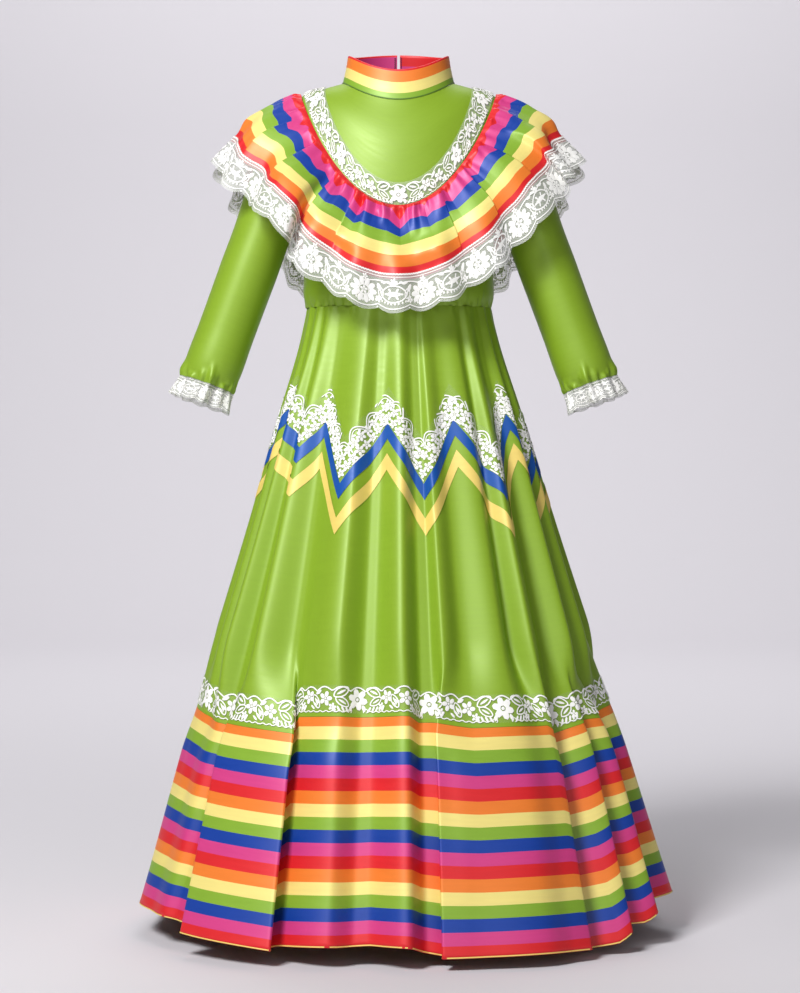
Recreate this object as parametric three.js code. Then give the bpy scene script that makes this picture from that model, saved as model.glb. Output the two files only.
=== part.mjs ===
// A child's folk dress in satin, filled out as when worn: stand collar, deep striped ruffle edged with
// lace, long sleeves, a flared skirt with zigzag trim and a striped flounce.
// Millimetres, +Z up. The front faces -Y and the wearer's left is +X. Z = 0 is the side of the neck,
// where the dress rests on the shoulders. An angle is measured round the body from the centre front
// towards +X, in degrees.
import * as THREE from "three";

const CLOTH = 1.5; // satin walls
const TRIM = 1.0; // laces and ribbons
const SEAM = 0.3; // gap between two pieces sewn edge to edge
const ARMHOLE_SEAM = 0.4;
const LIFT = 1.0; // gap between a panel and a trim sewn on it

const WAIST_Z = -258;
const SKIRT_LENGTH = 466; // down the cloth, from the waist to the flounce seam
const FLOUNCE_LENGTH = 252;
const HEM = SKIRT_LENGTH + FLOUNCE_LENGTH;
const SKIRT_SLOPE = 0.97; // drop for each millimetre of cloth
const RUFFLE_DEPTH = 90;
const RUFFLE_LACE = 38;

// A table with a named column for each number in a row.
function table(names, rows) {
  const keys = names.split(" ");
  return rows.map((row) => Object.fromEntries(keys.map((key, i) => [key, row[i]])));
}

// Level rings of the body. wide, front and back are half sizes, and each ring dips from side_z at the
// sides to front_z and back_z, as a power of the cosine of the angle, front_dip or back_dip.
const BODY = table("level wide front back side_z front_z back_z front_dip back_dip", [
  [0, 104, 80, 74, WAIST_Z, WAIST_Z, WAIST_Z, 2, 2],
  [1, 109, 88, 80, -243, -243, -243, 2, 2],
  [2, 109, 89, 84, -215, -222, -222, 2, 2],
  [3, 113, 92, 89, -150, -200, -195, 2, 2],
  [4, 143, 92, 90, -48, -176, -165, 2, 2],
  [5, 110, 88, 86, -15, -148, -122, 1.7, 1.7],
  [6, 86, 77, 74, -7, -78, -30, 2, 2],
  [7, 64, 57, 56, -1, -26, 7, 2, 2],
]);
const UNDERARM_LEVEL = 3;
const SHOULDER_LEVEL = 4;
const RUFFLE_LEVEL = 5;
const NECK_LEVEL = 7;
const ARMHOLE_STEPS = 8; // rows of the body from the underarm to the shoulder
const ARMHOLE_REACH = 34; // degrees that the armhole cuts into the front and the back
const PANEL_COLUMNS = 24;

const COLLAR = table("up wide front back side_z front_z back_z front_dip back_dip", [
  [0, 64, 57, 56, -1 + SEAM, -26 + SEAM, 7 + SEAM, 2, 2],
  [0.5, 60.5, 54, 52.5, 14.6, -8.6, 22.6, 2, 2],
  [1, 58, 52, 50, 30, 8.7, 38, 2, 2],
]);
const COLLAR_COLUMNS = 32;
const COLLAR_SLIT = 1.6; // half of the gap at the centre back, degrees

// The ruffle hangs from its gathered head; down is measured on the cloth.
const RUFFLE = table("down wide front back side_z front_z back_z front_dip back_dip", [
  [0, 111.5, 90.5, 88.5, -13, -147, -121, 1.7, 1.7],
  [45, 154, 112, 108, -29, -190, -178, 1.9, 1.6],
  [RUFFLE_DEPTH, 188, 124, 122, -66, -232, -236, 2.1, 1.55],
  [RUFFLE_DEPTH + RUFFLE_LACE, 211, 131, 130, -92, -270, -284, 2, 1.5],
]);
const FULLNESS_POWER = 1.2;
const RUFFLE_WAVES = 22;
const WAVE_DRIFT = 40; // degrees by which the waves stray, this many times round the ruffle
const WAVE_DRIFTS = 3;
const RUFFLE_WAVE_DEPTH = 5;
const RUFFLE_GATHERS = 1.4;
const RUFFLE_STEP = 3.6; // degrees
const RUFFLE_ROWS = [0, 25, 55, RUFFLE_DEPTH - SEAM / 2, RUFFLE_DEPTH + SEAM / 2, RUFFLE_DEPTH + RUFFLE_LACE];
const RUFFLE_SATIN_ROWS = 4;
const RUFFLE_FOLDS = table("at before after top low lean sway", [
  [-42, 10, 5, 14, 14, 22, 0],
  [57, 9, 6, 7, 7, 20, 0],
  [-74, 8, 6, 7, 7, 4, 0],
  [135, 8, 8, 12, 12, 10, 0],
  [-130, 8, 8, 12, 12, -10, 0],
]);
const RUFFLE_SAG = table("at drop", [
  [-180, 0], [-62, 0], [-47, -11], [-40, 0], [44, 0], [53, -9], [61, -12], [70, 0], [180, 0],
]);

// Skirt sections, by the length of cloth from the waist.
const SKIRT = table("down wide front back", [
  [0, 104, 80, 74],
  [50, 114, 92, 87],
  [120, 133, 114, 109],
  [265, 171, 150, 147],
  [480, 231, 207, 203],
  [HEM, 291, 264, 260],
]);
const DRIFT = 7; // degrees that the folds gather towards the middle of the front and back at the waist

// A fold stands at an angle and reaches before and after it. Its depth is top in the skirt and low in
// the flounce, where it leans by lean to one side, and it sways by sway degrees towards the waist.
const SKIRT_FOLDS = table("at before after top low lean sway", [
  [-84, 9, 6, 10, 0, 0, 0],
  [-76, 16, 16, 0, 9, 0, 0],
  [-70, 8, 5, 16, 0, 0, 4],
  [-62, 8, 5, 30, 8, 4, 11],
  [-41, 6, 9, 38, 0, 0, 1],
  [-44.5, 3, 14, 0, 32, -14, 0],
  [-31, 14, 3, 0, 32, 34, 0],
  [-15, 15, 6, 38, 22, 4, 0],
  [1, 8, 5, 36, 28, 4, 0],
  [11.5, 3, 6.5, 24, 0, 0, 0],
  [12.8, 2.8, 24.7, 0, 28, -24, 0],
  [28, 10, 6, 26, 8, 0, 0],
  [37.5, 4, 10, 38, 0, 0, 0],
  [37.5, 24.7, 3.5, 0, 32, 14, 0],
  [53, 7, 7, 36, 0, 0, 5],
  [49.5, 9, 3.5, 0, 34, 12, 3],
  [69, 8, 7, 28, 0, 0, 3],
  [60.5, 8, 3.5, 0, 32, 12, 3],
  [82, 14, 12, 16, 24, 0, 0],
  [98, 8, 6, 32, 0, 0, 0],
  [103, 3, 15, 0, 14, -8, 0],
  [118, 15, 3, 0, 22, 12, 0],
  [112, 8, 7, 34, 6, 0, 0],
  [127, 8, 6, 36, 26, 6, 0],
  [141, 8, 7, 32, 10, 0, 0],
  [148, 3, 20, 0, 30, -12, 0],
  [168, 20, 3, 0, 30, 12, 0],
  [155, 6, 8, 38, 0, 0, 0],
  [169, 6, 6, 32, 0, 0, 0],
  [181, 6, 5, 34, 26, 6, 0],
  [193, 7, 8, 30, 0, 0, 0],
  [191, 3, 22, 0, 32, -12, 0],
  [213, 22, 3, 0, 32, 12, 0],
  [208, 8, 7, 38, 0, 0, 0],
  [222, 7, 6, 34, 18, 6, 0],
  [235, 7, 6, 32, 0, 0, 0],
  [233, 9, 3.5, 0, 30, 12, 0],
  [247, 6, 8, 30, 0, 0, 0],
  [247, 8, 3.5, 0, 12, 8, 0],
  [260, 6, 6, 16, 0, 0, 0],
]);
const FOLD_START = 0.07; // share of a fold's depth at the waist
const FOLD_POWER = 0.85;
const LATE_FROM = 370; // where the skirt's folds start to turn into the flounce's
const LATE_LENGTH = 120;
const RISE_SHARE = 0.6; // how much a deep fold lifts its cloth
const LEAST_FALL = 150;
const SAG = table("at seam hem", [
  [-90, 0, -19], [-72, 6, -19], [-58, 14, -17], [-50, 17, -14], [-46, 13, -8], [-30, 20, 0], [-26, 0, -5],
  [-13, -1, -7], [-6, -2, -10], [2, -2, -7], [5, 4, -3], [8, 4, 0], [12, 5, 4], [20, 12, 4], [36, 14, 6],
  [41, 28, 7], [47, 19, 5], [52, 14, -14], [58, 12, -10], [64, 14, -28], [76, 5, -28], [90, 0, -26],
  [110, 0, -8], [250, 0, -6], [270, 0, -19],
]);
const FOLD_STEPS = [-1, -0.5, 0, 0.5, 1];
const LEAST_STEP = 2.3; // degrees between two columns of the skirt
const WAIST_GATHERS = 1.4;
const GATHER_FADE = 45;
const SKIRT_ROWS = [0, 20, 75, 140, 205, 262, 340, 390, 432, 462, SKIRT_LENGTH - SEAM / 2];
const FLOUNCE_ROWS = [SKIRT_LENGTH + SEAM / 2, 590, HEM];
const SIDE_SEAMS = [-90, 90];

// The zigzag turns down at a valley (fall 1) and up at a peak (fall 0).
const TURNS = table("at fall", [
  [-84, 0.5], [-63, -0.28], [-39.3, 0.4], [-31, -0.07], [-19.4, 1.03], [-3.9, 0], [8.9, 1], [22, -0.08],
  [36.5, 0.75], [54, -0.17], [66, 0.8], [78, 0], [92, 0.9], [107, 0], [122, 1], [137, 0], [152, 1],
  [167, 0], [182, 1], [197, 0], [212, 1], [227, 0], [242, 1], [257, 0], [276, 0.5],
]);
const ZIGZAG_LACE = { top: [98, 163], bottom: [136.5, 204.5] };
const RIBBON_BLUE = { top: [137, 205], bottom: [155, 223] };
const RIBBON_YELLOW = { top: [171.5, 244], bottom: [190.5, 263] };
const HEM_LACE = { top: [432, 432], bottom: [462, 462] };
const YOKE_LACE = 29; // width
const YOKE_LIFT = 0.95;

// The sleeve's own sections, from the armhole to the gathered wrist.
const ARMHOLE_CENTRE = new THREE.Vector3(129, 0, -98);
const WRIST_CENTRE = new THREE.Vector3(218.7, -22, -346);
const SLEEVE_AXIS = WRIST_CENTRE.clone().sub(ARMHOLE_CENTRE).normalize();
const SLEEVE_LENGTH = WRIST_CENTRE.distanceTo(ARMHOLE_CENTRE);
const SLEEVE_OUT = new THREE.Vector3(0.9425, 0, 0.334);
const SLEEVE_AHEAD = new THREE.Vector3(-0.028, -0.996, 0.078);
const ARMHOLE_FACING = new THREE.Vector3(0.956, 0, -0.292);
const SLEEVE = table("along wide deep", [
  [0, 46, 50],
  [60, 34, 42],
  [130, 33, 39],
  [200, 32.5, 36],
  [240, 33, 35],
  [256, 31.5, 32],
  [SLEEVE_LENGTH, 27.5, 27],
]);
const SLEEVE_ROWS = [0, 14, 34, 60, 110, 160, 205, 240, 256, SLEEVE_LENGTH];
const SLEEVE_COLUMNS = 2 * ARMHOLE_STEPS;
const SLEEVE_BLEND = 70; // length over which the armhole's shape turns into the tube's
const MITRE_LIMIT = 1.6;
const CUFF_LACE = 24;
const CUFF_FLARE = 3;
const CUFF_WAVE = 3;
const CUFF_COLUMNS = 24;

const PLACKET_HALF = 10; // degrees to each side of the centre back
const PLACKET_GAP = 0.5;

const rad = THREE.MathUtils.degToRad;

// A smooth curve through one column of a table, read at a place in its key column.
function profile(rows, key, column, at) {
  const last = rows.length - 1;
  const slope = (i) => {
    const before = rows[Math.max(i - 1, 0)];
    const after = rows[Math.min(i + 1, last)];
    return (after[column] - before[column]) / (after[key] - before[key]);
  };
  let i = 0;
  while (i < last - 1 && at > rows[i + 1][key]) i += 1;
  const span = rows[i + 1][key] - rows[i][key];
  const t = THREE.MathUtils.clamp((at - rows[i][key]) / span, 0, 1);
  const rise = t * t * (3 - 2 * t);
  return rows[i][column] * (1 - rise) + rows[i + 1][column] * rise
    + span * t * (1 - t) * (slope(i) * (1 - t) - slope(i + 1) * t);
}

// A point on a ring that is an ellipse from above and dips towards the front and the back.
function ringPoint(rows, key, at, angle) {
  const value = (column) => profile(rows, key, column, at);
  const sin = Math.sin(rad(angle));
  const cos = Math.cos(rad(angle));
  const side = cos > 0 ? "front" : "back";
  const dip = (value(`${side}_z`) - value("side_z")) * Math.abs(cos) ** value(`${side}_dip`);
  return new THREE.Vector3(value("wide") * sin, -value(side) * cos, value("side_z") + dip);
}

const outwards = (angle) => new THREE.Vector3(Math.sin(rad(angle)), -Math.cos(rad(angle)), 0);
const sideways = (angle) => new THREE.Vector3(Math.cos(rad(angle)), Math.sin(rad(angle)), 0);
const turnFrom = (angle, start) => ((angle - start + 540) % 360) - 180;

// A value read off the straight lines between a table's rows.
function between(rows, column, at) {
  const next = rows.findIndex((row) => row.at > at);
  if (next < 1) return next < 0 ? rows.at(-1)[column] : rows[0][column];
  const [before, after] = [rows[next - 1], rows[next]];
  return before[column] + (after[column] - before[column]) * (at - before.at) / (after.at - before.at);
}

// How far the folds of a table move a point out and sideways. rise goes from 1 at the head to 0 at the
// hem, and late from 0 to 1 as the folds take their lower shape.
function foldShift(folds, angle, rise, late) {
  const shift = { out: 0, along: 0 };
  for (const fold of folds) {
    const turn = turnFrom(angle, fold.at + fold.sway * rise);
    const t = turn / (turn < 0 ? fold.before : fold.after);
    if (Math.abs(t) < 1) {
      const crest = Math.cos(Math.PI * t / 2) ** 2;
      shift.out += (fold.top + (fold.low - fold.top) * late) * crest;
      shift.along += fold.lean * late * crest;
    }
  }
  return shift;
}

// The normals of a grid whose rows run down and whose columns run towards greater angles.
function gridNormals(grid, closed) {
  const normals = grid.map((row) => row.map(() => new THREE.Vector3()));
  const columns = grid[0].length;
  const spans = closed ? columns : columns - 1;
  for (let r = 0; r < grid.length - 1; r += 1) {
    for (let c = 0; c < spans; c += 1) {
      const next = (c + 1) % columns;
      const down = grid[r + 1][next].clone().sub(grid[r][c]);
      const up = grid[r][next].clone().sub(grid[r + 1][c]);
      const facing = down.cross(up);
      for (const [row, column] of [[r, c], [r, next], [r + 1, c], [r + 1, next]]) {
        normals[row][column].add(facing);
      }
    }
  }
  return normals.map((row) => row.map((normal) => normal.normalize()));
}

// A surface is a grid of points with its normals; lifted moves it along them.
const surface = (grid, closed = false) => ({ grid, closed, normals: gridNormals(grid, closed) });

// The last row above a level seam and the first row below it share their normals.
function seamRows({ normals }, below) {
  normals[below].forEach((normal, c) => {
    normal.add(normals[below - 1][c]).normalize();
    normals[below - 1][c].copy(normal);
  });
}

function lifted({ grid, normals, closed }, height) {
  const move = (point, r, c) => point.clone().addScaledVector(normals[r][c], height);
  return { grid: grid.map((row, r) => row.map((point, c) => move(point, r, c))), normals, closed };
}

function someRows(whole, from, to) {
  return { ...whole, grid: whole.grid.slice(from, to), normals: whole.normals.slice(from, to) };
}

// The columns from one seam to the next, each end drawn back by half of the seam's gap.
function cutPanel({ grid, normals }, from, to) {
  const columns = grid[0].length;
  const picked = Array.from({ length: to - from + 1 }, (_, i) => (from + i + columns) % columns);
  const cut = grid.map((row) => picked.map((c) => row[c].clone()));
  for (const row of cut) {
    const last = row.length - 1;
    const start = row[1].clone().sub(row[0]).setLength(SEAM / 2);
    const end = row[last - 1].clone().sub(row[last]).setLength(SEAM / 2);
    row[0].add(start);
    row[last].add(end);
  }
  return { grid: cut, normals: normals.map((row) => picked.map((c) => row[c])), closed: false };
}

// A cloth wall: the surface is its outside, and its inside lies one thickness behind.
function wallGeometry({ grid, normals, closed }, thickness) {
  const rows = grid.length;
  const columns = grid[0].length;
  const spans = closed ? columns : columns - 1;
  const positions = [];
  for (const depth of [0, thickness]) {
    for (let r = 0; r < rows; r += 1) {
      for (let c = 0; c < columns; c += 1) {
        positions.push(...grid[r][c].clone().addScaledVector(normals[r][c], -depth).toArray());
      }
    }
  }
  const outer = (r, c) => r * columns + (c % columns);
  const inner = (r, c) => rows * columns + outer(r, c);
  const faces = [];
  const quad = (a, b, c, d) => faces.push(a, b, c, a, c, d);
  for (let c = 0; c < spans; c += 1) {
    for (let r = 0; r < rows - 1; r += 1) {
      quad(outer(r, c), outer(r + 1, c), outer(r + 1, c + 1), outer(r, c + 1));
      quad(inner(r, c), inner(r, c + 1), inner(r + 1, c + 1), inner(r + 1, c));
    }
    quad(outer(0, c), outer(0, c + 1), inner(0, c + 1), inner(0, c));
    quad(outer(rows - 1, c), inner(rows - 1, c), inner(rows - 1, c + 1), outer(rows - 1, c + 1));
  }
  if (!closed) {
    for (let r = 0; r < rows - 1; r += 1) {
      const c = columns - 1;
      quad(outer(r, 0), inner(r, 0), inner(r + 1, 0), outer(r + 1, 0));
      quad(outer(r, c), outer(r + 1, c), inner(r + 1, c), inner(r, c));
    }
  }
  const geometry = new THREE.BufferGeometry();
  geometry.setAttribute("position", new THREE.Float32BufferAttribute(positions, 3));
  geometry.setIndex(faces);
  geometry.computeVertexNormals();
  return geometry;
}

const finish = (color, roughness) => new THREE.MeshStandardMaterial({ color, roughness, metalness: 0 });
const GREEN_SATIN = finish(0x86b734, 0.42);
const STRIPED_SATIN = finish(0xe2662f, 0.42);
const LACE = finish(0xf6f4ee, 0.85);
const BLUE_RIBBON = finish(0x1659a8, 0.45);
const YELLOW_RIBBON = finish(0xf2dd62, 0.45);

const dress = new THREE.Group();

function sew(name, cloth, thickness, material) {
  const mesh = new THREE.Mesh(wallGeometry(cloth, thickness), material);
  mesh.name = name;
  dress.add(mesh);
}

// ---- bodice ----

const bodyPoint = (level, angle) => ringPoint(BODY, "level", level, angle);

function bodyNormal(level, angle) {
  const step = 0.02;
  const across = bodyPoint(level, angle + 1).sub(bodyPoint(level, angle - 1));
  const up = bodyPoint(Math.min(level + step, NECK_LEVEL), angle)
    .sub(bodyPoint(Math.max(level - step, 0), angle));
  return across.cross(up).normalize();
}

// Rows of the body from the neck down: level, the angle of its side edge, and, beside the armhole, the
// turn round the armhole from the shoulder.
function bodyRows() {
  const rows = [7, 6.5, 6, 5.5, 5, 4.5].map((level) => ({ level, edge: 90 }));
  for (let k = ARMHOLE_STEPS; k >= 0; k -= 1) {
    const turn = 180 * (1 - k / ARMHOLE_STEPS);
    const level = UNDERARM_LEVEL + (SHOULDER_LEVEL - UNDERARM_LEVEL) * (1 + Math.cos(rad(turn))) / 2;
    rows.push({ level, edge: 90 - ARMHOLE_REACH * Math.sin(rad(turn)), turn });
  }
  return [...rows, ...[2, 1, 0].map((level) => ({ level, edge: 90 }))];
}

// The tube's point at a length along the sleeve, before its armhole end is fitted.
function tubePoint(along, turn) {
  const wide = profile(SLEEVE, "along", "wide", along);
  const deep = profile(SLEEVE, "along", "deep", along);
  return ARMHOLE_CENTRE.clone()
    .addScaledVector(SLEEVE_AXIS, along)
    .addScaledVector(SLEEVE_OUT, wide * Math.cos(rad(turn)))
    .addScaledVector(SLEEVE_AHEAD, deep * Math.sin(rad(turn)));
}

function armholePoint(turn) {
  const level = UNDERARM_LEVEL + (SHOULDER_LEVEL - UNDERARM_LEVEL) * (1 + Math.cos(rad(turn))) / 2;
  const angle = 90 - ARMHOLE_REACH * Math.sin(rad(turn));
  return { point: bodyPoint(level, angle), normal: bodyNormal(level, angle) };
}

// The left sleeve's surface: its first row is the armhole, drawn off by the seam's gap.
function sleeveSurface() {
  const grid = SLEEVE_ROWS.map((along) => {
    const blend = THREE.MathUtils.smoothstep(along, 0, SLEEVE_BLEND);
    return Array.from({ length: SLEEVE_COLUMNS }, (_, c) => {
      const turn = -c * 360 / SLEEVE_COLUMNS;
      const start = armholePoint(turn).point.addScaledVector(ARMHOLE_FACING, ARMHOLE_SEAM);
      start.addScaledVector(SLEEVE_AXIS, along);
      return start.lerp(tubePoint(along, turn), blend);
    });
  });
  return surface(grid, true);
}

// Where the body and the sleeve meet, both walls share one direction for their thickness.
function mitre(first, second) {
  const sum = first.clone().add(second).normalize();
  return sum.multiplyScalar(Math.min(1 / Math.max(sum.dot(first), 0.01), MITRE_LIMIT));
}

const leftSleeve = sleeveSurface();
const armholeMitres = leftSleeve.normals[0].map((normal, c) => {
  return mitre(armholePoint(-c * 360 / SLEEVE_COLUMNS).normal, normal);
});
leftSleeve.normals[0] = armholeMitres;

function armholeMitre(turn, side) {
  const column = Math.round(-turn * SLEEVE_COLUMNS / 360 + SLEEVE_COLUMNS) % SLEEVE_COLUMNS;
  return armholeMitres[column].clone().multiply(new THREE.Vector3(side, 1, 1));
}

// A panel of the bodice between two edges. An edge is +1 or -1 at a side, and a fixed angle at the
// opening in the back.
function bodicePanel(from, to, columns) {
  const grid = [];
  const normals = [];
  for (const { level, edge, turn } of bodyRows()) {
    const start = from.opening ?? from.side * edge + from.past;
    const end = to.opening ?? to.side * edge + to.past;
    const angles = Array.from({ length: columns + 1 }, (_, c) => start + (end - start) * c / columns);
    const row = angles.map((angle) => bodyPoint(level, angle));
    const facing = angles.map((angle) => bodyNormal(level, angle));
    if (turn !== undefined && from.side) facing[0] = armholeMitre(from.turn(turn), from.half);
    if (turn !== undefined && to.side) facing[columns] = armholeMitre(to.turn(turn), to.half);
    grid.push(row);
    normals.push(facing);
  }
  return cutPanel({ grid, normals }, 0, columns);
}

const ahead = (turn) => turn;
const behind = (turn) => 360 - turn;
const BACK_OPENING = 180 - 0.3;
sew("bodice_front", bodicePanel(
  { side: -1, past: 0, turn: ahead, half: -1 }, { side: 1, past: 0, turn: ahead, half: 1 }, PANEL_COLUMNS,
), CLOTH, GREEN_SATIN);
sew("bodice_back_left", bodicePanel(
  { side: -1, past: 180, turn: behind, half: 1 }, { opening: BACK_OPENING }, PANEL_COLUMNS / 2,
), CLOTH, GREEN_SATIN);
sew("bodice_back_right", bodicePanel(
  { opening: -BACK_OPENING }, { side: 1, past: -180, turn: behind, half: -1 }, PANEL_COLUMNS / 2,
), CLOTH, GREEN_SATIN);

// The underlap behind the back opening.
function placket() {
  const levels = bodyRows().map(({ level }) => level);
  const angles = [-1, -0.5, 0, 0.5, 1].map((t) => 180 + t * PLACKET_HALF);
  return {
    grid: levels.map((level) => angles.map((angle) => bodyPoint(level, angle))),
    normals: levels.map((level) => angles.map((angle) => bodyNormal(level, angle))),
    closed: false,
  };
}
sew("back_placket", lifted(placket(), -CLOTH - PLACKET_GAP), TRIM, GREEN_SATIN);

// ---- collar and yoke lace ----

function collar() {
  const grid = [1, 0.66, 0.33, 0].map((up) => Array.from({ length: COLLAR_COLUMNS + 1 }, (_, c) => {
    const reach = 180 - COLLAR_SLIT;
    return ringPoint(COLLAR, "up", up, reach * (2 * c / COLLAR_COLUMNS - 1));
  }));
  return surface(grid);
}
sew("collar", collar(), CLOTH, STRIPED_SATIN);

// A flat lace over the head of the ruffle, of one width all round.
function yokeLace() {
  const columns = 2 * PANEL_COLUMNS;
  const reach = 180 - COLLAR_SLIT;
  const rows = [YOKE_LACE, YOKE_LACE / 2, 1.5];
  const grid = rows.map(() => []);
  const normals = rows.map(() => []);
  for (let c = 0; c <= columns; c += 1) {
    const angle = reach * (2 * c / columns - 1);
    const span = bodyPoint(RUFFLE_LEVEL + 1, angle).distanceTo(bodyPoint(RUFFLE_LEVEL, angle));
    rows.forEach((height, r) => {
      const level = RUFFLE_LEVEL + height / span;
      grid[r].push(bodyPoint(level, angle));
      normals[r].push(bodyNormal(level, angle));
    });
  }
  return { grid, normals, closed: false };
}
sew("yoke_lace", lifted(yokeLace(), YOKE_LIFT + TRIM), TRIM, LACE);

// ---- sleeves and cuff laces ----

// The same surface on the other side of the body.
function mirrored({ grid, normals, closed }) {
  const turned = (rows) => rows.map((row) => row.map((v) => new THREE.Vector3(-v.x, v.y, v.z)).reverse());
  return { grid: turned(grid), normals: turned(normals), closed };
}

function cuffLace() {
  const grid = [0, 1].map((t) => Array.from({ length: CUFF_COLUMNS }, (_, c) => {
    const turn = -c * 360 / CUFF_COLUMNS;
    const wave = c % 2 ? -CUFF_WAVE : CUFF_WAVE;
    const wrist = tubePoint(SLEEVE_LENGTH, turn);
    const out = wrist.clone().sub(WRIST_CENTRE).normalize();
    return wrist.addScaledVector(SLEEVE_AXIS, SEAM + CUFF_LACE * t)
      .addScaledVector(out, (CUFF_FLARE + wave) * t);
  }));
  return surface(grid, true);
}

sew("sleeve_left", leftSleeve, CLOTH, GREEN_SATIN);
sew("sleeve_right", mirrored(leftSleeve), CLOTH, GREEN_SATIN);
sew("cuff_lace_left", cuffLace(), TRIM, LACE);
sew("cuff_lace_right", mirrored(cuffLace()), TRIM, LACE);

// ---- shoulder ruffle ----

// The ruffle's head lies on the bodice, and its folds and waves grow towards the hem.
function rufflePoint(down, angle, gather) {
  const fullness = (down / RUFFLE_DEPTH) ** FULLNESS_POWER;
  const wave = Math.cos(rad(RUFFLE_WAVES * angle + WAVE_DRIFT * Math.sin(rad(WAVE_DRIFTS * angle))));
  const fold = foldShift(RUFFLE_FOLDS, angle, 0, 1);
  const gathers = RUFFLE_GATHERS * gather * Math.max(1 - down / RUFFLE_DEPTH, 0);
  const point = ringPoint(RUFFLE, "down", down, angle)
    .addScaledVector(outwards(angle), gathers + fullness * (fold.out + RUFFLE_WAVE_DEPTH * wave))
    .addScaledVector(sideways(angle), fullness * fold.along);
  return point.setZ(point.z - fullness * between(RUFFLE_SAG, "drop", angle));
}

function ruffle() {
  const half = Math.round(180 / RUFFLE_STEP);
  const angles = [];
  for (let c = -half; c <= half; c += 1) angles.push(c * (180 - COLLAR_SLIT) / half);
  const grid = RUFFLE_ROWS.map((down) => angles.map((angle, c) => rufflePoint(down, angle, c % 2 ? 2 : 0)));
  const whole = surface(grid);
  seamRows(whole, RUFFLE_SATIN_ROWS);
  return { whole, half };
}

const { whole: ruffleCloth, half: centreFront } = ruffle();
const shoulder = Math.round(centreFront / 2);
const ruffleParts = {
  back_right: [0, shoulder],
  front: [shoulder, 3 * shoulder],
  back_left: [3 * shoulder, 4 * shoulder],
};
for (const [place, [from, to]] of Object.entries(ruffleParts)) {
  const panel = cutPanel(ruffleCloth, from, to);
  sew(`ruffle_${place}`, someRows(panel, 0, RUFFLE_SATIN_ROWS), CLOTH, STRIPED_SATIN);
  sew(`ruffle_lace_${place}`, someRows(panel, RUFFLE_SATIN_ROWS), TRIM, LACE);
}

// ---- skirt, flounce and their trims ----

// The columns of the skirt follow the sides, the slopes and the crests of the folds.
function skirtAngles() {
  const wanted = SKIRT_FOLDS
    .flatMap(({ at, before, after }) => FOLD_STEPS.map((t) => at + t * (t < 0 ? before : after)))
    .map((angle) => (angle < SIDE_SEAMS[0] ? angle + 360 : angle))
    .sort((a, b) => a - b);
  const kept = [...SIDE_SEAMS];
  for (const angle of wanted) {
    if (kept.every((other) => Math.abs(turnFrom(angle, other)) > LEAST_STEP)) kept.push(angle);
  }
  return kept.sort((a, b) => a - b);
}

const ANGLES = skirtAngles();

function skirtPoint(down, around, gather) {
  const v = down / HEM;
  const angle = around + (1 - v) * DRIFT * Math.sin(rad(2 * around));
  const wide = profile(SKIRT, "down", "wide", down);
  const deep = profile(SKIRT, "down", Math.cos(rad(angle)) > 0 ? "front" : "back", down);
  const late = THREE.MathUtils.smoothstep(down, LATE_FROM, LATE_FROM + LATE_LENGTH);
  const fold = foldShift(SKIRT_FOLDS, around, 1 - v, late);
  const out = fold.out * (FOLD_START + (1 - FOLD_START) * v ** FOLD_POWER);
  const along = fold.along * (1 + v) / 2;
  const spread = wide - SKIRT[0].wide;
  const rise = RISE_SHARE * out * (2 * spread + out) / (2 * Math.max(down, LEAST_FALL));
  const seam = between(SAG, "seam", around);
  const hem = between(SAG, "hem", around);
  const below = Math.max(down - SKIRT_LENGTH, 0) / FLOUNCE_LENGTH;
  const sag = (seam + (hem - seam) * below) * Math.min(down / SKIRT_LENGTH, 1) ** 2;
  const gathers = WAIST_GATHERS * gather * Math.max(1 - down / GATHER_FADE, 0);
  return new THREE.Vector3(wide * Math.sin(rad(angle)), -deep * Math.cos(rad(angle)), 0)
    .addScaledVector(outwards(angle), out + gathers)
    .addScaledVector(sideways(angle), along)
    .setZ(WAIST_Z - SKIRT_SLOPE * down - (down === 0 ? SEAM : 0) + rise - sag);
}

const skirtRows = [...SKIRT_ROWS, ...FLOUNCE_ROWS];
const skirtCloth = surface(skirtRows.map((down) => {
  return ANGLES.map((around, c) => skirtPoint(down, around, c % 2 ? 1 : -1));
}), true);
seamRows(skirtCloth, SKIRT_ROWS.length);
const leftSeam = ANGLES.indexOf(SIDE_SEAMS[1]);
const skirtHalves = { front: [0, leftSeam], back: [leftSeam, ANGLES.length] };
for (const [place, [from, to]] of Object.entries(skirtHalves)) {
  const panel = cutPanel(skirtCloth, from, to);
  sew(`skirt_${place}`, someRows(panel, 0, SKIRT_ROWS.length), CLOTH, GREEN_SATIN);
  sew(`flounce_${place}`, someRows(panel, SKIRT_ROWS.length), CLOTH, STRIPED_SATIN);
}

// The place on the skirt's own wall at a column and a length of cloth from the waist.
function onSkirt(column, down) {
  const r = skirtRows.findIndex((row) => row > down) - 1;
  const t = (down - skirtRows[r]) / (skirtRows[r + 1] - skirtRows[r]);
  const mixed = (rows) => rows[r][column].clone().lerp(rows[r + 1][column], t);
  return { point: mixed(skirtCloth.grid), normal: mixed(skirtCloth.normals).normalize() };
}

// Each turn of the zigzag stands on the nearest column, so that its corner stays sharp.
const columnPlaces = [...ANGLES, ...ANGLES.map((angle) => angle + 360)];
const turns = TURNS.map(({ at, fall }) => {
  return { at: columnPlaces.reduce((a, b) => (Math.abs(b - at) < Math.abs(a - at) ? b : a)), fall };
});

const zigzagFall = (around) => between(turns, "fall", around < turns[0].at ? around + 360 : around);

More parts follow.
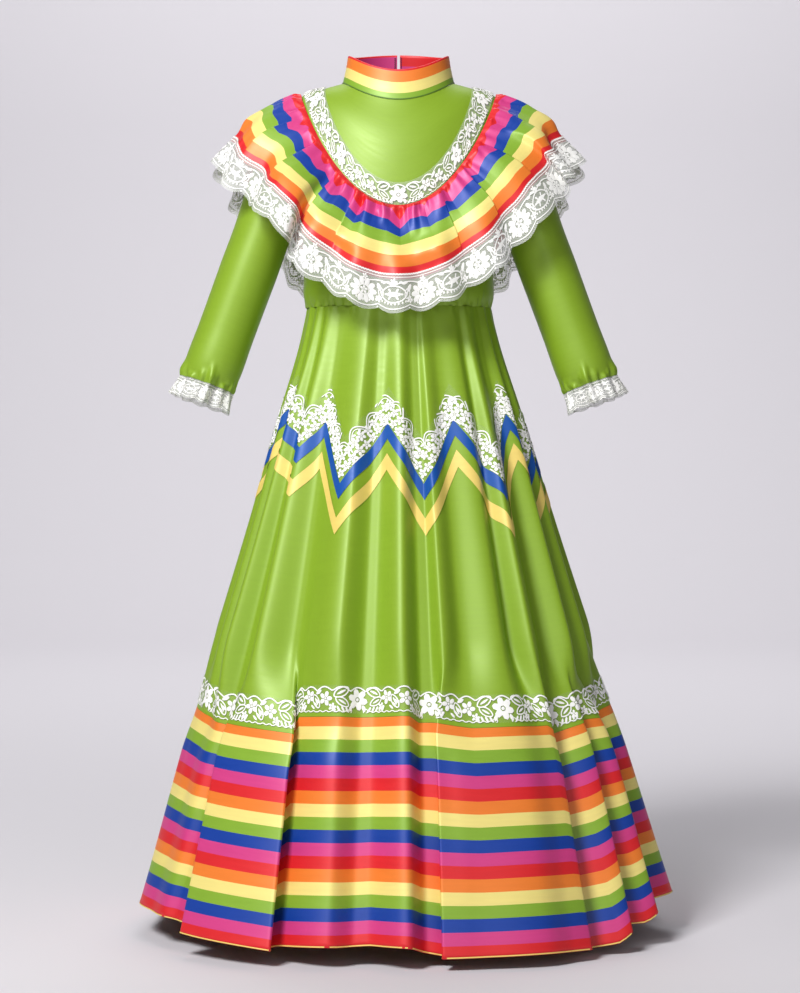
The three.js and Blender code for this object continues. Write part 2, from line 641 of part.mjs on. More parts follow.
// A trim sewn round the skirt; top and bottom give its place at a peak and at a valley.
function skirtTrim({ top, bottom }) {
  const lines = [top, bottom].map(([peak, valley]) => ANGLES.map((around, c) => {
    return onSkirt(c, peak + (valley - peak) * zigzagFall(around));
  }));
  const grid = lines.map((line) => line.map(({ point }) => point));
  const normals = lines.map((line) => line.map(({ normal }) => normal));
  return lifted({ grid, normals, closed: true }, LIFT + TRIM);
}

sew("zigzag_lace", skirtTrim(ZIGZAG_LACE), TRIM, LACE);
sew("ribbon_blue", skirtTrim(RIBBON_BLUE), TRIM, BLUE_RIBBON);
sew("ribbon_yellow", skirtTrim(RIBBON_YELLOW), TRIM, YELLOW_RIBBON);
sew("hem_lace", skirtTrim(HEM_LACE), TRIM, LACE);

export default dress;
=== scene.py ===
# A child's folk dress in satin: stand collar, deep striped ruffle edged with lace, long sleeves, a
# flared skirt with zigzag trim and a striped flounce. Lengths are in millimetres up to the meshes,
# and an angle is measured round the body from the centre front towards +X, in degrees.
import math

import bpy
import numpy as np
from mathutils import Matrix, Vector


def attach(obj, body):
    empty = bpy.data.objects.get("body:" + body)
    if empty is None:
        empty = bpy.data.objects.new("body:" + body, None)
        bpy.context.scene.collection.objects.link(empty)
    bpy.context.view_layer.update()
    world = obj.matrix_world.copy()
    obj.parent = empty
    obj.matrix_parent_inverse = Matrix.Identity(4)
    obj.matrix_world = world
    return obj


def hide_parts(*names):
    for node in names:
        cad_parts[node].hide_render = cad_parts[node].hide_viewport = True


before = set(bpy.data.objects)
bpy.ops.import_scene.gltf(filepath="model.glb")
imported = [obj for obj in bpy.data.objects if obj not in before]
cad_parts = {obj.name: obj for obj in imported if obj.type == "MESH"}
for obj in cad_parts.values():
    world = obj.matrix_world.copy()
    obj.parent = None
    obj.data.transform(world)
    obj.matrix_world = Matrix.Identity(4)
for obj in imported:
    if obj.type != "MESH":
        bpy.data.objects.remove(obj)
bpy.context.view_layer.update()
random = np.random.default_rng(7)

MM = 0.001
WAIST_Z = -258
SKIRT_LENGTH = 466
FLOUNCE_LENGTH = 252
HEM = SKIRT_LENGTH + FLOUNCE_LENGTH
SKIRT_SLOPE = 0.97
RUFFLE_DEPTH = 90
RUFFLE_LACE = 38
STRIPE = 14.25
SEAM = 0.3
OPENING = 178.4  # the angle at which the ruffle, its lace and the collar part at the back


def table(names, rows):
    """A table with a named column for each number in a row."""
    return dict(zip(names.split(), np.array(rows, float).T))


# ---- sections of the body, collar, ruffle, skirt and sleeve ----

BODY = table("level wide front back side_z front_z back_z front_dip back_dip", [
    [0, 104, 80, 74, WAIST_Z, WAIST_Z, WAIST_Z, 2, 2],
    [1, 109, 88, 80, -243, -243, -243, 2, 2],
    [2, 109, 89, 84, -215, -222, -222, 2, 2],
    [3, 113, 92, 89, -150, -200, -195, 2, 2],
    [4, 143, 92, 90, -48, -176, -165, 2, 2],
    [5, 110, 88, 86, -15, -148, -122, 1.7, 1.7],
    [6, 86, 77, 74, -7, -78, -30, 2, 2],
    [7, 64, 57, 56, -1, -26, 7, 2, 2],
])
COLLAR = table("up wide front back side_z front_z back_z front_dip back_dip", [
    [0, 64, 57, 56, -0.7, -25.7, 7.3, 2, 2],
    [0.5, 60.5, 54, 52.5, 14.6, -8.6, 22.6, 2, 2],
    [1, 58, 52, 50, 30, 8.7, 38, 2, 2],
])
RUFFLE = table("down wide front back side_z front_z back_z front_dip back_dip", [
    [0, 111.5, 90.5, 88.5, -13, -147, -121, 1.7, 1.7],
    [45, 154, 112, 108, -29, -190, -178, 1.9, 1.6],
    [RUFFLE_DEPTH, 188, 124, 122, -66, -232, -236, 2.1, 1.55],
    [RUFFLE_DEPTH + RUFFLE_LACE, 211, 131, 130, -92, -270, -284, 2, 1.5],
])
RUFFLE_FOLDS = [
    # at, before, after, top, low, lean, sway
    (-42, 10, 5, 14, 14, 22, 0),
    (57, 9, 6, 7, 7, 20, 0),
    (-74, 8, 6, 7, 7, 4, 0),
    (135, 8, 8, 12, 12, 10, 0),
    (-130, 8, 8, 12, 12, -10, 0),
]
SKIRT = table("down wide front back", [
    [0, 104, 80, 74],
    [50, 114, 92, 87],
    [120, 133, 114, 109],
    [265, 171, 150, 147],
    [480, 231, 207, 203],
    [HEM, 291, 264, 260],
])
SKIRT_FOLDS = [
    # at, before, after, top, low, lean, sway
    (-84, 9, 6, 10, 0, 0, 0),
    (-76, 16, 16, 0, 9, 0, 0),
    (-70, 8, 5, 16, 0, 0, 4),
    (-62, 8, 5, 30, 8, 4, 11),
    (-41, 6, 9, 38, 0, 0, 1),
    (-44.5, 3, 14, 0, 32, -14, 0),
    (-31, 14, 3, 0, 32, 34, 0),
    (-15, 15, 6, 38, 22, 4, 0),
    (1, 8, 5, 36, 28, 4, 0),
    (11.5, 3, 6.5, 24, 0, 0, 0),
    (12.8, 2.8, 24.7, 0, 28, -24, 0),
    (28, 10, 6, 26, 8, 0, 0),
    (37.5, 4, 10, 38, 0, 0, 0),
    (37.5, 24.7, 3.5, 0, 32, 14, 0),
    (53, 7, 7, 36, 0, 0, 5),
    (49.5, 9, 3.5, 0, 34, 12, 3),
    (69, 8, 7, 28, 0, 0, 3),
    (60.5, 8, 3.5, 0, 32, 12, 3),
    (82, 14, 12, 16, 24, 0, 0),
    (98, 8, 6, 32, 0, 0, 0),
    (103, 3, 15, 0, 14, -8, 0),
    (118, 15, 3, 0, 22, 12, 0),
    (112, 8, 7, 34, 6, 0, 0),
    (127, 8, 6, 36, 26, 6, 0),
    (141, 8, 7, 32, 10, 0, 0),
    (148, 3, 20, 0, 30, -12, 0),
    (168, 20, 3, 0, 30, 12, 0),
    (155, 6, 8, 38, 0, 0, 0),
    (169, 6, 6, 32, 0, 0, 0),
    (181, 6, 5, 34, 26, 6, 0),
    (193, 7, 8, 30, 0, 0, 0),
    (191, 3, 22, 0, 32, -12, 0),
    (213, 22, 3, 0, 32, 12, 0),
    (208, 8, 7, 38, 0, 0, 0),
    (222, 7, 6, 34, 18, 6, 0),
    (235, 7, 6, 32, 0, 0, 0),
    (233, 9, 3.5, 0, 30, 12, 0),
    (247, 6, 8, 30, 0, 0, 0),
    (247, 8, 3.5, 0, 12, 8, 0),
    (260, 6, 6, 16, 0, 0, 0),
]
# How far the cloth hangs lower, at the flounce seam and at the hem.
SAG = table("at seam hem", [
    [-90, 0, -19], [-72, 6, -19], [-58, 14, -17], [-50, 17, -14], [-46, 13, -8], [-30, 20, 0],
    [-26, 0, -5], [-13, -1, -7], [-6, -2, -10], [2, -2, -7], [5, 4, -3], [8, 4, 0], [12, 5, 4],
    [20, 12, 4], [36, 14, 6], [41, 28, 7], [47, 19, 5], [52, 14, -14], [58, 12, -10], [64, 14, -28],
    [76, 5, -28], [90, 0, -26], [110, 0, -8], [250, 0, -6], [270, 0, -19],
])
RUFFLE_SAG = table("at drop", [
    [-180, 0], [-62, 0], [-47, -11], [-40, 0], [44, 0], [53, -9], [61, -12], [70, 0], [180, 0],
])
# Tucks below the ruffle's head: the width on each side and how far each draws the stripes down.
TUCKS = table("at before after shift", [
    [-86, 5, 4, 9], [-74, 4, 6, 8], [-63, 5, 3, 10], [-53, 5, 3, 9], [-43, 6, 3, 11], [-32, 7, 3, 10],
    [-20, 7, 3.5, 15], [0.8, 6, 5, 15], [14, 3, 3, 5], [27, 3, 6, 9], [41, 3, 6, 12], [52, 3, 5, 9],
    [63, 4, 5, 10], [76, 5, 4, 8], [88, 4, 5, 9], [101, 5, 4, 10], [113, 4, 6, 9], [126, 5, 5, 12],
    [140, 5, 4, 9], [152, 4, 5, 11], [165, 5, 4, 8], [-172, 4, 5, 9], [-159, 5, 5, 12], [-147, 4, 4, 8],
    [-134, 5, 5, 11], [-121, 5, 4, 9], [-109, 4, 5, 10], [-98, 5, 4, 8],
])
# Folds pressed flat in the ruffle, each fading over its width, which is signed by its direction.
PRESSED = table("at step wide lift", [
    [-66, 6, 10, 1.6], [-51, 7, 9, 1.8], [-36, 11, 13, 2.4], [-24, 5, 7, 1.2], [23, 5, -9, 1.4],
    [38, 8, -11, 2], [52, 6, -9, 1.6], [70, 7, -11, 1.8], [96, 6, 10, 1.6], [122, 9, 12, 2],
    [149, 8, -10, 1.8], [-160, 6, 10, 1.6], [-137, 9, -12, 2], [-112, 7, 10, 1.8],
])
RUFFLE_WAVES = 22
RUFFLE_WAVE_DEPTH = 5
WAVE_DRIFT = 40  # degrees by which the waves stray, WAVE_DRIFTS times round the ruffle
WAVE_DRIFTS = 3
DRIFT = 7  # degrees that the folds gather towards the middle of the front and back at the waist
LEAN_START = 370  # how far below the waist the folds begin to lean and to take their lower depth
LEAN_REACH = 120
RISE_SHARE = 0.6  # how much of the height is given back where a fold stands out
LEAST_FALL = 150  # keeps that rise small near the waist

# The zigzag turns down at a valley (fall 1) and up at a peak (fall 0).
TURNS = table("at fall", [
    [-84, 0.5], [-63, -0.28], [-39.3, 0.4], [-31, -0.07], [-19.4, 1.03], [-3.9, 0], [8.9, 1], [22, -0.08],
    [39, 1], [54, -0.17], [66, 0.8], [78, 0], [92, 0.9], [107, 0], [122, 1], [137, 0], [152, 1],
    [167, 0], [182, 1], [197, 0], [212, 1], [227, 0], [242, 1], [257, 0], [276, 0.5],
])
ZIGZAG_LACE = ((95, 152), (136.5, 204.5))  # top, then bottom, each at a peak and at a valley
RIBBON_BLUE = ((137, 205), (155, 223))
RIBBON_YELLOW = ((171.5, 244), (190.5, 263))
HEM_LACE = ((432, 432), (462, 462))
HEM_LACE_MIDDLE = 447.5
YOKE_LACE = 29
CUFF_LACE = 24

ARMHOLE_CENTRE = np.array([129, 0, -98])
WRIST_CENTRE = np.array([218.7, -22, -346])
SLEEVE_LENGTH = float(np.linalg.norm(WRIST_CENTRE - ARMHOLE_CENTRE))
SLEEVE_AXIS = (WRIST_CENTRE - ARMHOLE_CENTRE) / SLEEVE_LENGTH
SLEEVE_OUT = np.array([0.9425, 0, 0.334])
SLEEVE_AHEAD = np.array([-0.028, -0.996, 0.078])
ARMHOLE_FACING = np.array([0.956, 0, -0.292])
SLEEVE = table("along wide deep", [
    [0, 46, 50],
    [60, 34, 42],
    [130, 33, 39],
    [200, 32.5, 36],
    [240, 33, 35],
    [256, 31.5, 32],
    [SLEEVE_LENGTH, 27.5, 27],
])
SLEEVE_BLEND = 70
ARMHOLE_REACH = 34  # degrees that the armhole reaches from the side towards the front and the back
MIRROR = np.array([-1, 1, 1])


def profile(rows, key, column, at):
    """A smooth curve through one column of a table, read at places in its key column."""
    keys, values = rows[key], rows[column]
    before = np.maximum(np.arange(len(keys)) - 1, 0)
    after = np.minimum(np.arange(len(keys)) + 1, len(keys) - 1)
    slopes = (values[after] - values[before]) / (keys[after] - keys[before])
    i = np.clip(np.searchsorted(keys, at) - 1, 0, len(keys) - 2)
    span = keys[i + 1] - keys[i]
    t = np.clip((at - keys[i]) / span, 0, 1)
    rise = t * t * (3 - 2 * t)
    bend = span * t * (1 - t) * (slopes[i] * (1 - t) - slopes[i + 1] * t)
    return values[i] * (1 - rise) + values[i + 1] * rise + bend


def xyz(x, y, z):
    return np.stack(np.broadcast_arrays(x, y, z), axis=-1).astype(float)


def sin(angle):
    return np.sin(np.radians(angle))


def cos(angle):
    return np.cos(np.radians(angle))


def outwards(angle):
    return xyz(sin(angle), -cos(angle), 0)


def sideways(angle):
    return xyz(cos(angle), sin(angle), 0)


def turn_from(angle, start):
    """The turn from one angle to another, from -180 to 180 degrees."""
    return (angle - start + 540) % 360 - 180


def smooth(t):
    t = np.clip(t, 0, 1)
    return t * t * (3 - 2 * t)


def ring_point(rows, key, at, angle):
    """A point on a ring that is an ellipse from above and dips towards the front and the back."""
    at, angle = np.broadcast_arrays(np.asarray(at, float), np.asarray(angle, float))
    ahead = cos(angle) > 0
    value = {name: profile(rows, key, name, at) for name in rows if name != key}
    deep = np.where(ahead, value["front"], value["back"])
    low = np.where(ahead, value["front_z"], value["back_z"])
    dip = np.where(ahead, value["front_dip"], value["back_dip"])
    z = value["side_z"] + (low - value["side_z"]) * np.abs(cos(angle)) ** dip
    return xyz(value["wide"] * sin(angle), -deep * cos(angle), z)


def fold_shift(folds, angle, rise, late):
    """How far the folds move a point out and sideways. A fold's depth goes from top to low and its lean
    sets in as late goes from 0 to 1, and rise, 1 at the head and 0 at the hem, makes it sway."""
    out = np.zeros_like(angle)
    along = np.zeros_like(angle)
    for at, before, after, top, low, lean, sway in folds:
        turn = turn_from(angle, at + sway * rise)
        t = np.clip(np.where(turn < 0, turn / before, turn / after), -1, 1)
        crest = np.cos(np.pi * t / 2) ** 2
        out = out + (top + (low - top) * late) * crest
        along = along + lean * late * crest
    return out, along


def gathers(count, first, last, least, most):
    """Small uneven gathers: where each stands, its half width, its depth and how far down it fades."""
    pitch = (last - first) / count
    places = first + pitch * (np.arange(count) + 0.5 + random.uniform(-0.3, 0.3, count))
    halves = pitch * random.uniform(0.55, 0.95, count)
    depths = random.uniform(least, most, count)
    fades = random.uniform(0.35, 1, count) ** 1.5
    return np.stack([places, halves, depths, fades], axis=1)


def gather_height(rows, angle, down, reach):
    """How far the gathers stand out at a place; each fades within its own share of reach."""
    height = np.zeros(np.broadcast(angle, down).shape)
    for at, half, depth, fade in rows:
        t = np.clip(turn_from(angle, at) / half, -1, 1)
        height = height + depth * np.cos(np.pi * t / 2) ** 2 * (1 - smooth(down / (reach * fade)))
    return height


# How far down each kind of gather reaches at most, and where the waves of the flounce set in.
WAIST_REACH = 22
HEAD_REACH = 60
WRIST_REACH = 32
CREASE_MIDDLE = 62
CREASE_REACH = 70
WAVE_START = 60
WAVE_REACH = 320
BODICE_REACH = 2.2  # in levels of the body's table
HEAD_DRAW = 0.8  # how far a gather at the ruffle's head draws the cloth up for each mm it stands out

# Down the ruffle: where tucks and pressed folds have set in, from where they fade, and over how much.
TUCK_SET = 12
TUCK_HOLD = 10
TUCK_FADE = 50
PRESS_SET = 30
PRESS_HOLD = 55
PRESS_FADE = 35

WAIST_GATHERS = gathers(84, -180, 180, 0.4, 1.2)
HEAD_GATHERS = gathers(84, -180, 180, 2, 6)
RUFFLE_CREASES = gathers(22, -180, 180, 3, 8)
BODICE_GATHERS = gathers(76, -180, 180, 1.2, 3.2)
WRIST_GATHERS = gathers(22, -180, 180, 2.5, 6)
FLOUNCE_WAVES = gathers(44, -180, 180, 1.5, 4)


def skirt_point(down, around):
    """A point on the skirt or the flounce, at a length down from the waist."""
    down, around = np.broadcast_arrays(np.asarray(down, float), np.asarray(around, float))
    v = down / HEM
    angle = around + (1 - v) * DRIFT * sin(2 * around)
    wide, front, back = (profile(SKIRT, "down", column, down) for column in ("wide", "front", "back"))
    deep = np.where(cos(angle) > 0, front, back)
    out, along = fold_shift(SKIRT_FOLDS, around, 1 - v, smooth((down - LEAN_START) / LEAN_REACH))
    out = out * (0.07 + 0.93 * v ** 0.85)
    along = along * (0.5 + 0.5 * v)
    place = turn_from(around, 90) + 90
    seam, hem = (np.interp(place, SAG["at"], SAG[column]) for column in ("seam", "hem"))
    below = np.clip((down - SKIRT_LENGTH) / FLOUNCE_LENGTH, 0, 1)
    drop = (seam + (hem - seam) * below) * np.clip(down / SKIRT_LENGTH, 0, 1) ** 2
    lift = out * (2 * (wide - SKIRT["wide"][0]) + out) / (2 * np.maximum(down, LEAST_FALL)) * RISE_SHARE
    fallen = down - SKIRT_LENGTH
    waves_out = gather_height(FLOUNCE_WAVES, around, np.maximum(fallen, 0), WAVE_REACH)
    small = gather_height(WAIST_GATHERS, around, down, WAIST_REACH) + waves_out * smooth(fallen / WAVE_START)
    point = xyz(wide * sin(angle), -deep * cos(angle), WAIST_Z - SKIRT_SLOPE * down + lift - drop)
    return point + outwards(angle) * (out + small)[..., None] + sideways(angle) * along[..., None]


def tucked(down, angle):
    """How far the cloth is drawn down in the tucks below the ruffle's gathered head."""
    drawn = np.zeros(np.broadcast(angle, down).shape)
    for at, before, after, shift in zip(*TUCKS.values()):
        turn = turn_from(angle, at)
        t = np.clip(np.where(turn < 0, turn / before, turn / after), -1, 1)
        drawn = np.maximum(drawn, shift * (1 - np.abs(t)) ** 1.3)
    return drawn * smooth(down / TUCK_SET) * (1 - smooth((down - TUCK_HOLD) / TUCK_FADE))


def pressed(down, angle):
    """How far the ruffle's stripes step at its pressed folds, and how far one side stands out."""
    step, rise = np.zeros((2, *np.broadcast(angle, down).shape))
    for at, high, wide, lift in zip(*PRESSED.values()):
        t = turn_from(angle, at) / wide
        t = np.where((t >= 0) & (t < 1), 1 - t, 0)
        step = step + high * t
        rise = rise + lift * t
    held = smooth(down / PRESS_SET) * (1 - 0.7 * smooth((down - PRESS_HOLD) / PRESS_FADE))
    return 0.75 * step * held, rise * held


def ruffle_point(down, angle):
    """A point on the ruffle or its lace, at a length down from the ruffle's head."""
    down, angle = np.broadcast_arrays(np.asarray(down, float), np.asarray(angle, float))
    fullness = (down / RUFFLE_DEPTH) ** 1.2
    wave = cos(RUFFLE_WAVES * angle + WAVE_DRIFT * sin(WAVE_DRIFTS * angle))
    out, along = fold_shift(RUFFLE_FOLDS, angle, 0, 1)
    small = gather_height(HEAD_GATHERS, angle, down, HEAD_REACH) * smooth(down / 8 + 0.2)
    point = ring_point(RUFFLE, "down", down, angle)
    point[..., 2] -= fullness * np.interp(turn_from(angle, 0), RUFFLE_SAG["at"], RUFFLE_SAG["drop"])
    point[..., 2] += HEAD_DRAW * small
    small = small + gather_height(RUFFLE_CREASES, angle, np.abs(down - CREASE_MIDDLE), CREASE_REACH)
    small = small - 0.45 * tucked(down, angle) + pressed(down, angle)[1]
    push = small + fullness * (out + RUFFLE_WAVE_DEPTH * wave)
    return point + outwards(angle) * push[..., None] + sideways(angle) * (fullness * along)[..., None]


def body_point(level, angle):
    """A point on the bodice, at a level from 0 at the waist to 7 at the neck."""
    level, angle = np.broadcast_arrays(np.asarray(level, float), np.asarray(angle, float))
    small = gather_height(BODICE_GATHERS, angle, level, BODICE_REACH)
    return ring_point(BODY, "level", level, angle) + outwards(angle) * small[..., None]


def body_normal(level, angle):
    return -normals_of(lambda v, u: body_point(np.clip(v, 0, 7), u), level, angle, 0.02, 1)


def armhole_place(turn):
    """The level and the angle of the armhole's edge, from its top (0) to its foot (180)."""
    return 3 + (1 + cos(turn)) / 2, 90 - ARMHOLE_REACH * sin(turn)


def sleeve_point(along, turn):
    """The left sleeve; turn is measured round it from its outer side towards the front."""
    along, turn = np.broadcast_arrays(np.asarray(along, float), np.asarray(turn, float))
    wide = profile(SLEEVE, "along", "wide", along)
    deep = profile(SLEEVE, "along", "deep", along)
    small = gather_height(WRIST_GATHERS, turn, SLEEVE_LENGTH - along, WRIST_REACH)
    start = body_point(*armhole_place(turn)) + ARMHOLE_FACING * 0.4 + SLEEVE_AXIS * along[..., None]
    tube = ARMHOLE_CENTRE + SLEEVE_AXIS * along[..., None]
    tube = tube + SLEEVE_OUT * ((wide + small) * cos(turn))[..., None]
    tube = tube + SLEEVE_AHEAD * ((deep + small) * sin(turn))[..., None]
    return start + (tube - start) * smooth(along / SLEEVE_BLEND)[..., None]


def normals_of(shape, v, u, dv=0.5, du=0.1):
    """The outward normals of a surface whose v runs down and whose u runs towards greater angles."""
    down = shape(v + dv, u) - shape(v - dv, u)
    across = shape(v, u + du) - shape(v, u - du)
    normal = np.cross(down, across)
    return normal / np.maximum(np.linalg.norm(normal, axis=-1, keepdims=True), 1e-9)


# ---- meshes ----

def lengths_across(points):
    """The length of cloth along each row, from its first point."""
    steps = np.linalg.norm(np.diff(points, axis=1), axis=-1)
    return np.concatenate([np.zeros((len(points), 1)), np.cumsum(steps, axis=1)], axis=1)


def lengths_down(points):
    """The length of cloth down the middle column, from its first point."""
    steps = np.linalg.norm(np.diff(points[:, points.shape[1] // 2], axis=0), axis=-1)
    return np.concatenate([[0], np.cumsum(steps)])


def cloth_uv(points, downs):
    """Coordinates on the cloth itself: across from the middle of each row, and down."""
    across = lengths_across(points)
    across = across - across[:, [across.shape[1] // 2]]
    return np.stack([across, np.broadcast_to(downs, across.shape)], axis=-1)


def grid_faces(rows, columns):
    corner = np.arange(rows * columns).reshape(rows, columns)
    quads = np.stack([corner[:-1, :-1], corner[1:, :-1], corner[1:, 1:], corner[:-1, 1:]], axis=-1)
    return quads.reshape(-1, 4)


def mesh_object(name, vertices, faces, uv=None):
    """A smooth mesh from points in millimetres and faces of equal size."""
    mesh = bpy.data.meshes.new(name)
    vertices = np.asarray(vertices, float).reshape(-1, 3) * MM
    faces = np.asarray(faces, int)
    mesh.from_pydata(vertices.tolist(), [], faces.tolist())
    if uv is not None:
        flat = np.asarray(uv, float).reshape(-1, 2) * MM
        layer = mesh.uv_layers.new(name="cloth")
        layer.data.foreach_set("uv", flat[faces.ravel()].ravel())
    mesh.shade_smooth()
    mesh.update()
    thing = bpy.data.objects.new(name, mesh)
    bpy.context.scene.collection.objects.link(thing)
    return thing


pieces = {}


def flat_area(uv):
    """The area of a grid in its cloth coordinates, in square metres."""
    a, b, c, d = uv[:-1, :-1], uv[1:, :-1], uv[1:, 1:], uv[:-1, 1:]
    first, second = c - a, d - b
    return float(np.abs(first[..., 0] * second[..., 1] - first[..., 1] * second[..., 0]).sum() / 2) * MM * MM


def sew(name, points, downs, material, nodes, held="gathered", shift=0.0, uv=None):
    """A piece of cloth on a grid of points whose rows run down. Its flat size is the cloth's own."""
    if uv is None:
        uv = cloth_uv(points, np.asarray(downs, float).reshape(len(points), -1))
        width = float(np.ptp(uv[..., 0], axis=1).max()) * MM
        length = float(np.ptp(uv[..., 1])) * MM
        area = flat_area(uv)
    else:
        middle = uv[len(uv) // 2]
        area = flat_area(uv)
        width = float(np.linalg.norm(np.diff(middle, axis=0), axis=-1).sum()) * MM
        length = area / width
    shown = uv + np.array([0, shift])
    thing = mesh_object(f"{name}_cloth", points, grid_faces(*points.shape[:2]), shown)
    thing.data.materials.append(material)
    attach(thing, "root")
    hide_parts(*nodes)
    pieces[name] = {"object": thing, "flat": (width, length), "area": area, "held": held, "with": []}
    return thing


def with_hem(points, normals, downs, thickness=1.2, turned=10):
    """Adds the thickness of the lower edge and the cloth turned up behind it."""
    edge = points[-1]
    up = points[-2] - edge
    up = up / np.maximum(np.linalg.norm(up, axis=-1, keepdims=True), 1e-9)
    under = edge - normals[-1] * thickness
    mid = edge - normals[-1] * thickness / 2 - up * thickness * 0.35
    inside = under + up * turned
    extra = np.stack([mid, under, inside])
    below = float(np.max(downs)) + np.array([thickness / 2, thickness, thickness + turned])
    return np.concatenate([points, extra]), np.concatenate([downs, below])


# ---- shaders ----

class Wire:
    """An output socket that works in arithmetic: each operator adds a maths node."""

    def __init__(self, tree, socket):
        self.tree = tree
        self.socket = socket

    def maths(self, operation, *values):
        return self.tree.add("ShaderNodeMath", {"operation": operation}, *values)

    def out(self, name):
        return Wire(self.tree, self.socket.node.outputs[name])

    def __add__(self, other):
        return self.maths("ADD", self, other)

    def __radd__(self, other):
        return self.maths("ADD", other, self)

    def __sub__(self, other):
        return self.maths("SUBTRACT", self, other)

    def __rsub__(self, other):
        return self.maths("SUBTRACT", other, self)

    def __mul__(self, other):
        return self.maths("MULTIPLY", self, other)

    def __truediv__(self, other):
        return self.maths("DIVIDE", self, other)

    def __mod__(self, other):
        return self.maths("FLOORED_MODULO", self, other)


class Tree:
    """Adds nodes to a node tree: settings first, then values or links for the inputs."""

    def __init__(self, tree):
        self.tree = tree

    def add(self, kind, settings=None, *values, output=0, **named):
        node = self.tree.nodes.new(kind)
        for key, value in (settings or {}).items():
            setattr(node, key, value)
        inputs = [*enumerate(values), *((key.replace("_", " "), value) for key, value in named.items())]
        for key, value in inputs:
            if isinstance(value, Wire):
                self.tree.links.new(value.socket, node.inputs[key])
            elif value is not None:
                node.inputs[key].default_value = value
        return Wire(self, node.outputs[output]) if node.outputs else node


def linear(colour):
    """A display colour, 0 to 255, as the shader's own."""
    value = np.array(colour, float) / 255
    value = np.where(value <= 0.04045, value / 12.92, ((value + 0.055) / 1.055) ** 2.4)
    return (*map(float, value), 1.0)


NET_CELL = 1.6
THREADS = (60, 900)  # how close the satin's threads lie across and down the cloth, then its slubs
SLUBS = (25, 260)
WHITE = (250, 249, 245)
GREEN = (136, 170, 38)
BLUE = (6, 80, 166)
YELLOW = (238, 210, 112)
NET_THREAD = (214, 216, 210)
STUDIO_GREY = (216, 213, 218)
STRIPES = [(240, 128, 44), (242, 224, 132), (134, 174, 48), (6, 60, 156), (212, 62, 132), (220, 32, 38)]


def new_material(name):
    material = bpy.data.materials.new(name)
    material.use_nodes = True
    material.node_tree.nodes.clear()
    return material, Tree(material.node_tree)


def noise(tree, vector, detail):
    kind = {"noise_dimensions": "3D"}
    return tree.add("ShaderNodeTexNoise", kind, Vector=vector, Scale=1.0, Detail=detail, Roughness=0.5)


def surface(tree, **inputs):
    tree.add("ShaderNodeOutputMaterial", {}, tree.add("ShaderNodeBsdfPrincipled", {}, **inputs))


def cloth_axes(tree):
    uv = tree.add("ShaderNodeUVMap", {"uv_map": "cloth"})
    parts = tree.add("ShaderNodeSeparateXYZ", {}, uv)
    return parts.out("X"), parts.out("Y")


def stretched(tree, u, v, along_u, along_v):
    return tree.add("ShaderNodeCombineXYZ", {}, u * along_u, v * along_v, 0.0)


def stripes_of(tree, u, v):
    """The printed stripes, one after another down the cloth, with slightly uneven edges."""
    wobble = (noise(tree, stretched(tree, u, v, 6, 6), 1.0) - 0.5) * 0.0012
    place = ((v + wobble) / (len(STRIPES) * STRIPE * MM)) % 1.0
    ramp = tree.tree.nodes.new("ShaderNodeValToRGB")
    ramp.color_ramp.interpolation = "CONSTANT"
    stops = ramp.color_ramp.elements
    while len(stops) < len(STRIPES):
        stops.new(0.5)
    for i, stripe in enumerate(STRIPES):
        stops[i].position = i / len(STRIPES)
        stops[i].color = linear(stripe)
    tree.tree.links.new(place.socket, ramp.inputs[0])
    return Wire(tree, ramp.outputs[0])


def satin(name, colour=None):
    """Smooth satin: one colour, or the printed stripes."""
    material, tree = new_material(name)
    u, v = cloth_axes(tree)
    threads = noise(tree, stretched(tree, u, v, *THREADS), 3.0)
    slubs = noise(tree, stretched(tree, u, v, *SLUBS), 2.0)
    base = stripes_of(tree, u, v) if colour is None else linear(colour)[:3]
    shade = (slubs - 0.5) * 0.10 + 1.0
    tint = tree.add("ShaderNodeVectorMath", {"operation": "SCALE"}, base, Scale=shade)
    bump = tree.add("ShaderNodeBump", {}, Strength=0.12, Distance=0.0004, Height=threads)
    surface(tree, Base_Color=tint, Roughness=(slubs - 0.5) * 0.12 + 0.48, Normal=bump, Metallic=0.10,
            Specular_IOR_Level=0.6)
    return material


def lace_net(name, least, most):
    """Fine net: threads round small hexagons, seen through between them."""
    material, tree = new_material(name)
    u, v = cloth_axes(tree)
    lines = []
    for angle in (0, 60, 120):
        along = u * math.cos(math.radians(angle)) + v * math.sin(math.radians(angle))
        phase = along * (2 * math.pi / (NET_CELL * MM))
        lines.append(phase.maths("COSINE", phase))
    thread = tree.add("ShaderNodeMapRange", {}, lines[0] + lines[1] + lines[2], 0.9, -0.9, least, most)
    surface(tree, Base_Color=linear(NET_THREAD), Roughness=0.8, Alpha=thread)
    return material


def sewing_thread(name, colour):
    material, tree = new_material(name)
    surface(tree, Base_Color=linear(colour), Roughness=0.62, Sheen_Weight=0.3)
    return material


green_satin = satin("green_satin", GREEN)
striped_satin = satin("striped_satin")
blue_ribbon = satin("blue_ribbon", BLUE)
yellow_ribbon = satin("yellow_ribbon", YELLOW)
white_net = lace_net("white_net", 0.22, 0.75)
pale_net = lace_net("pale_net", 0.10, 0.36)
clear_net = lace_net("clear_net", 0.0, 0.10)
lace_thread = sewing_thread("lace_thread", WHITE)
rose_thread = sewing_thread("rose_thread", (128, 20, 76))
# A darker copy of the green: painted shade for the groove under the collar's seam, not a thread of its own
# colour.
painted_seam_shade = sewing_thread("painted_seam_shade", (78, 116, 24))

# ---- motifs sewn along a route on the cloth ----


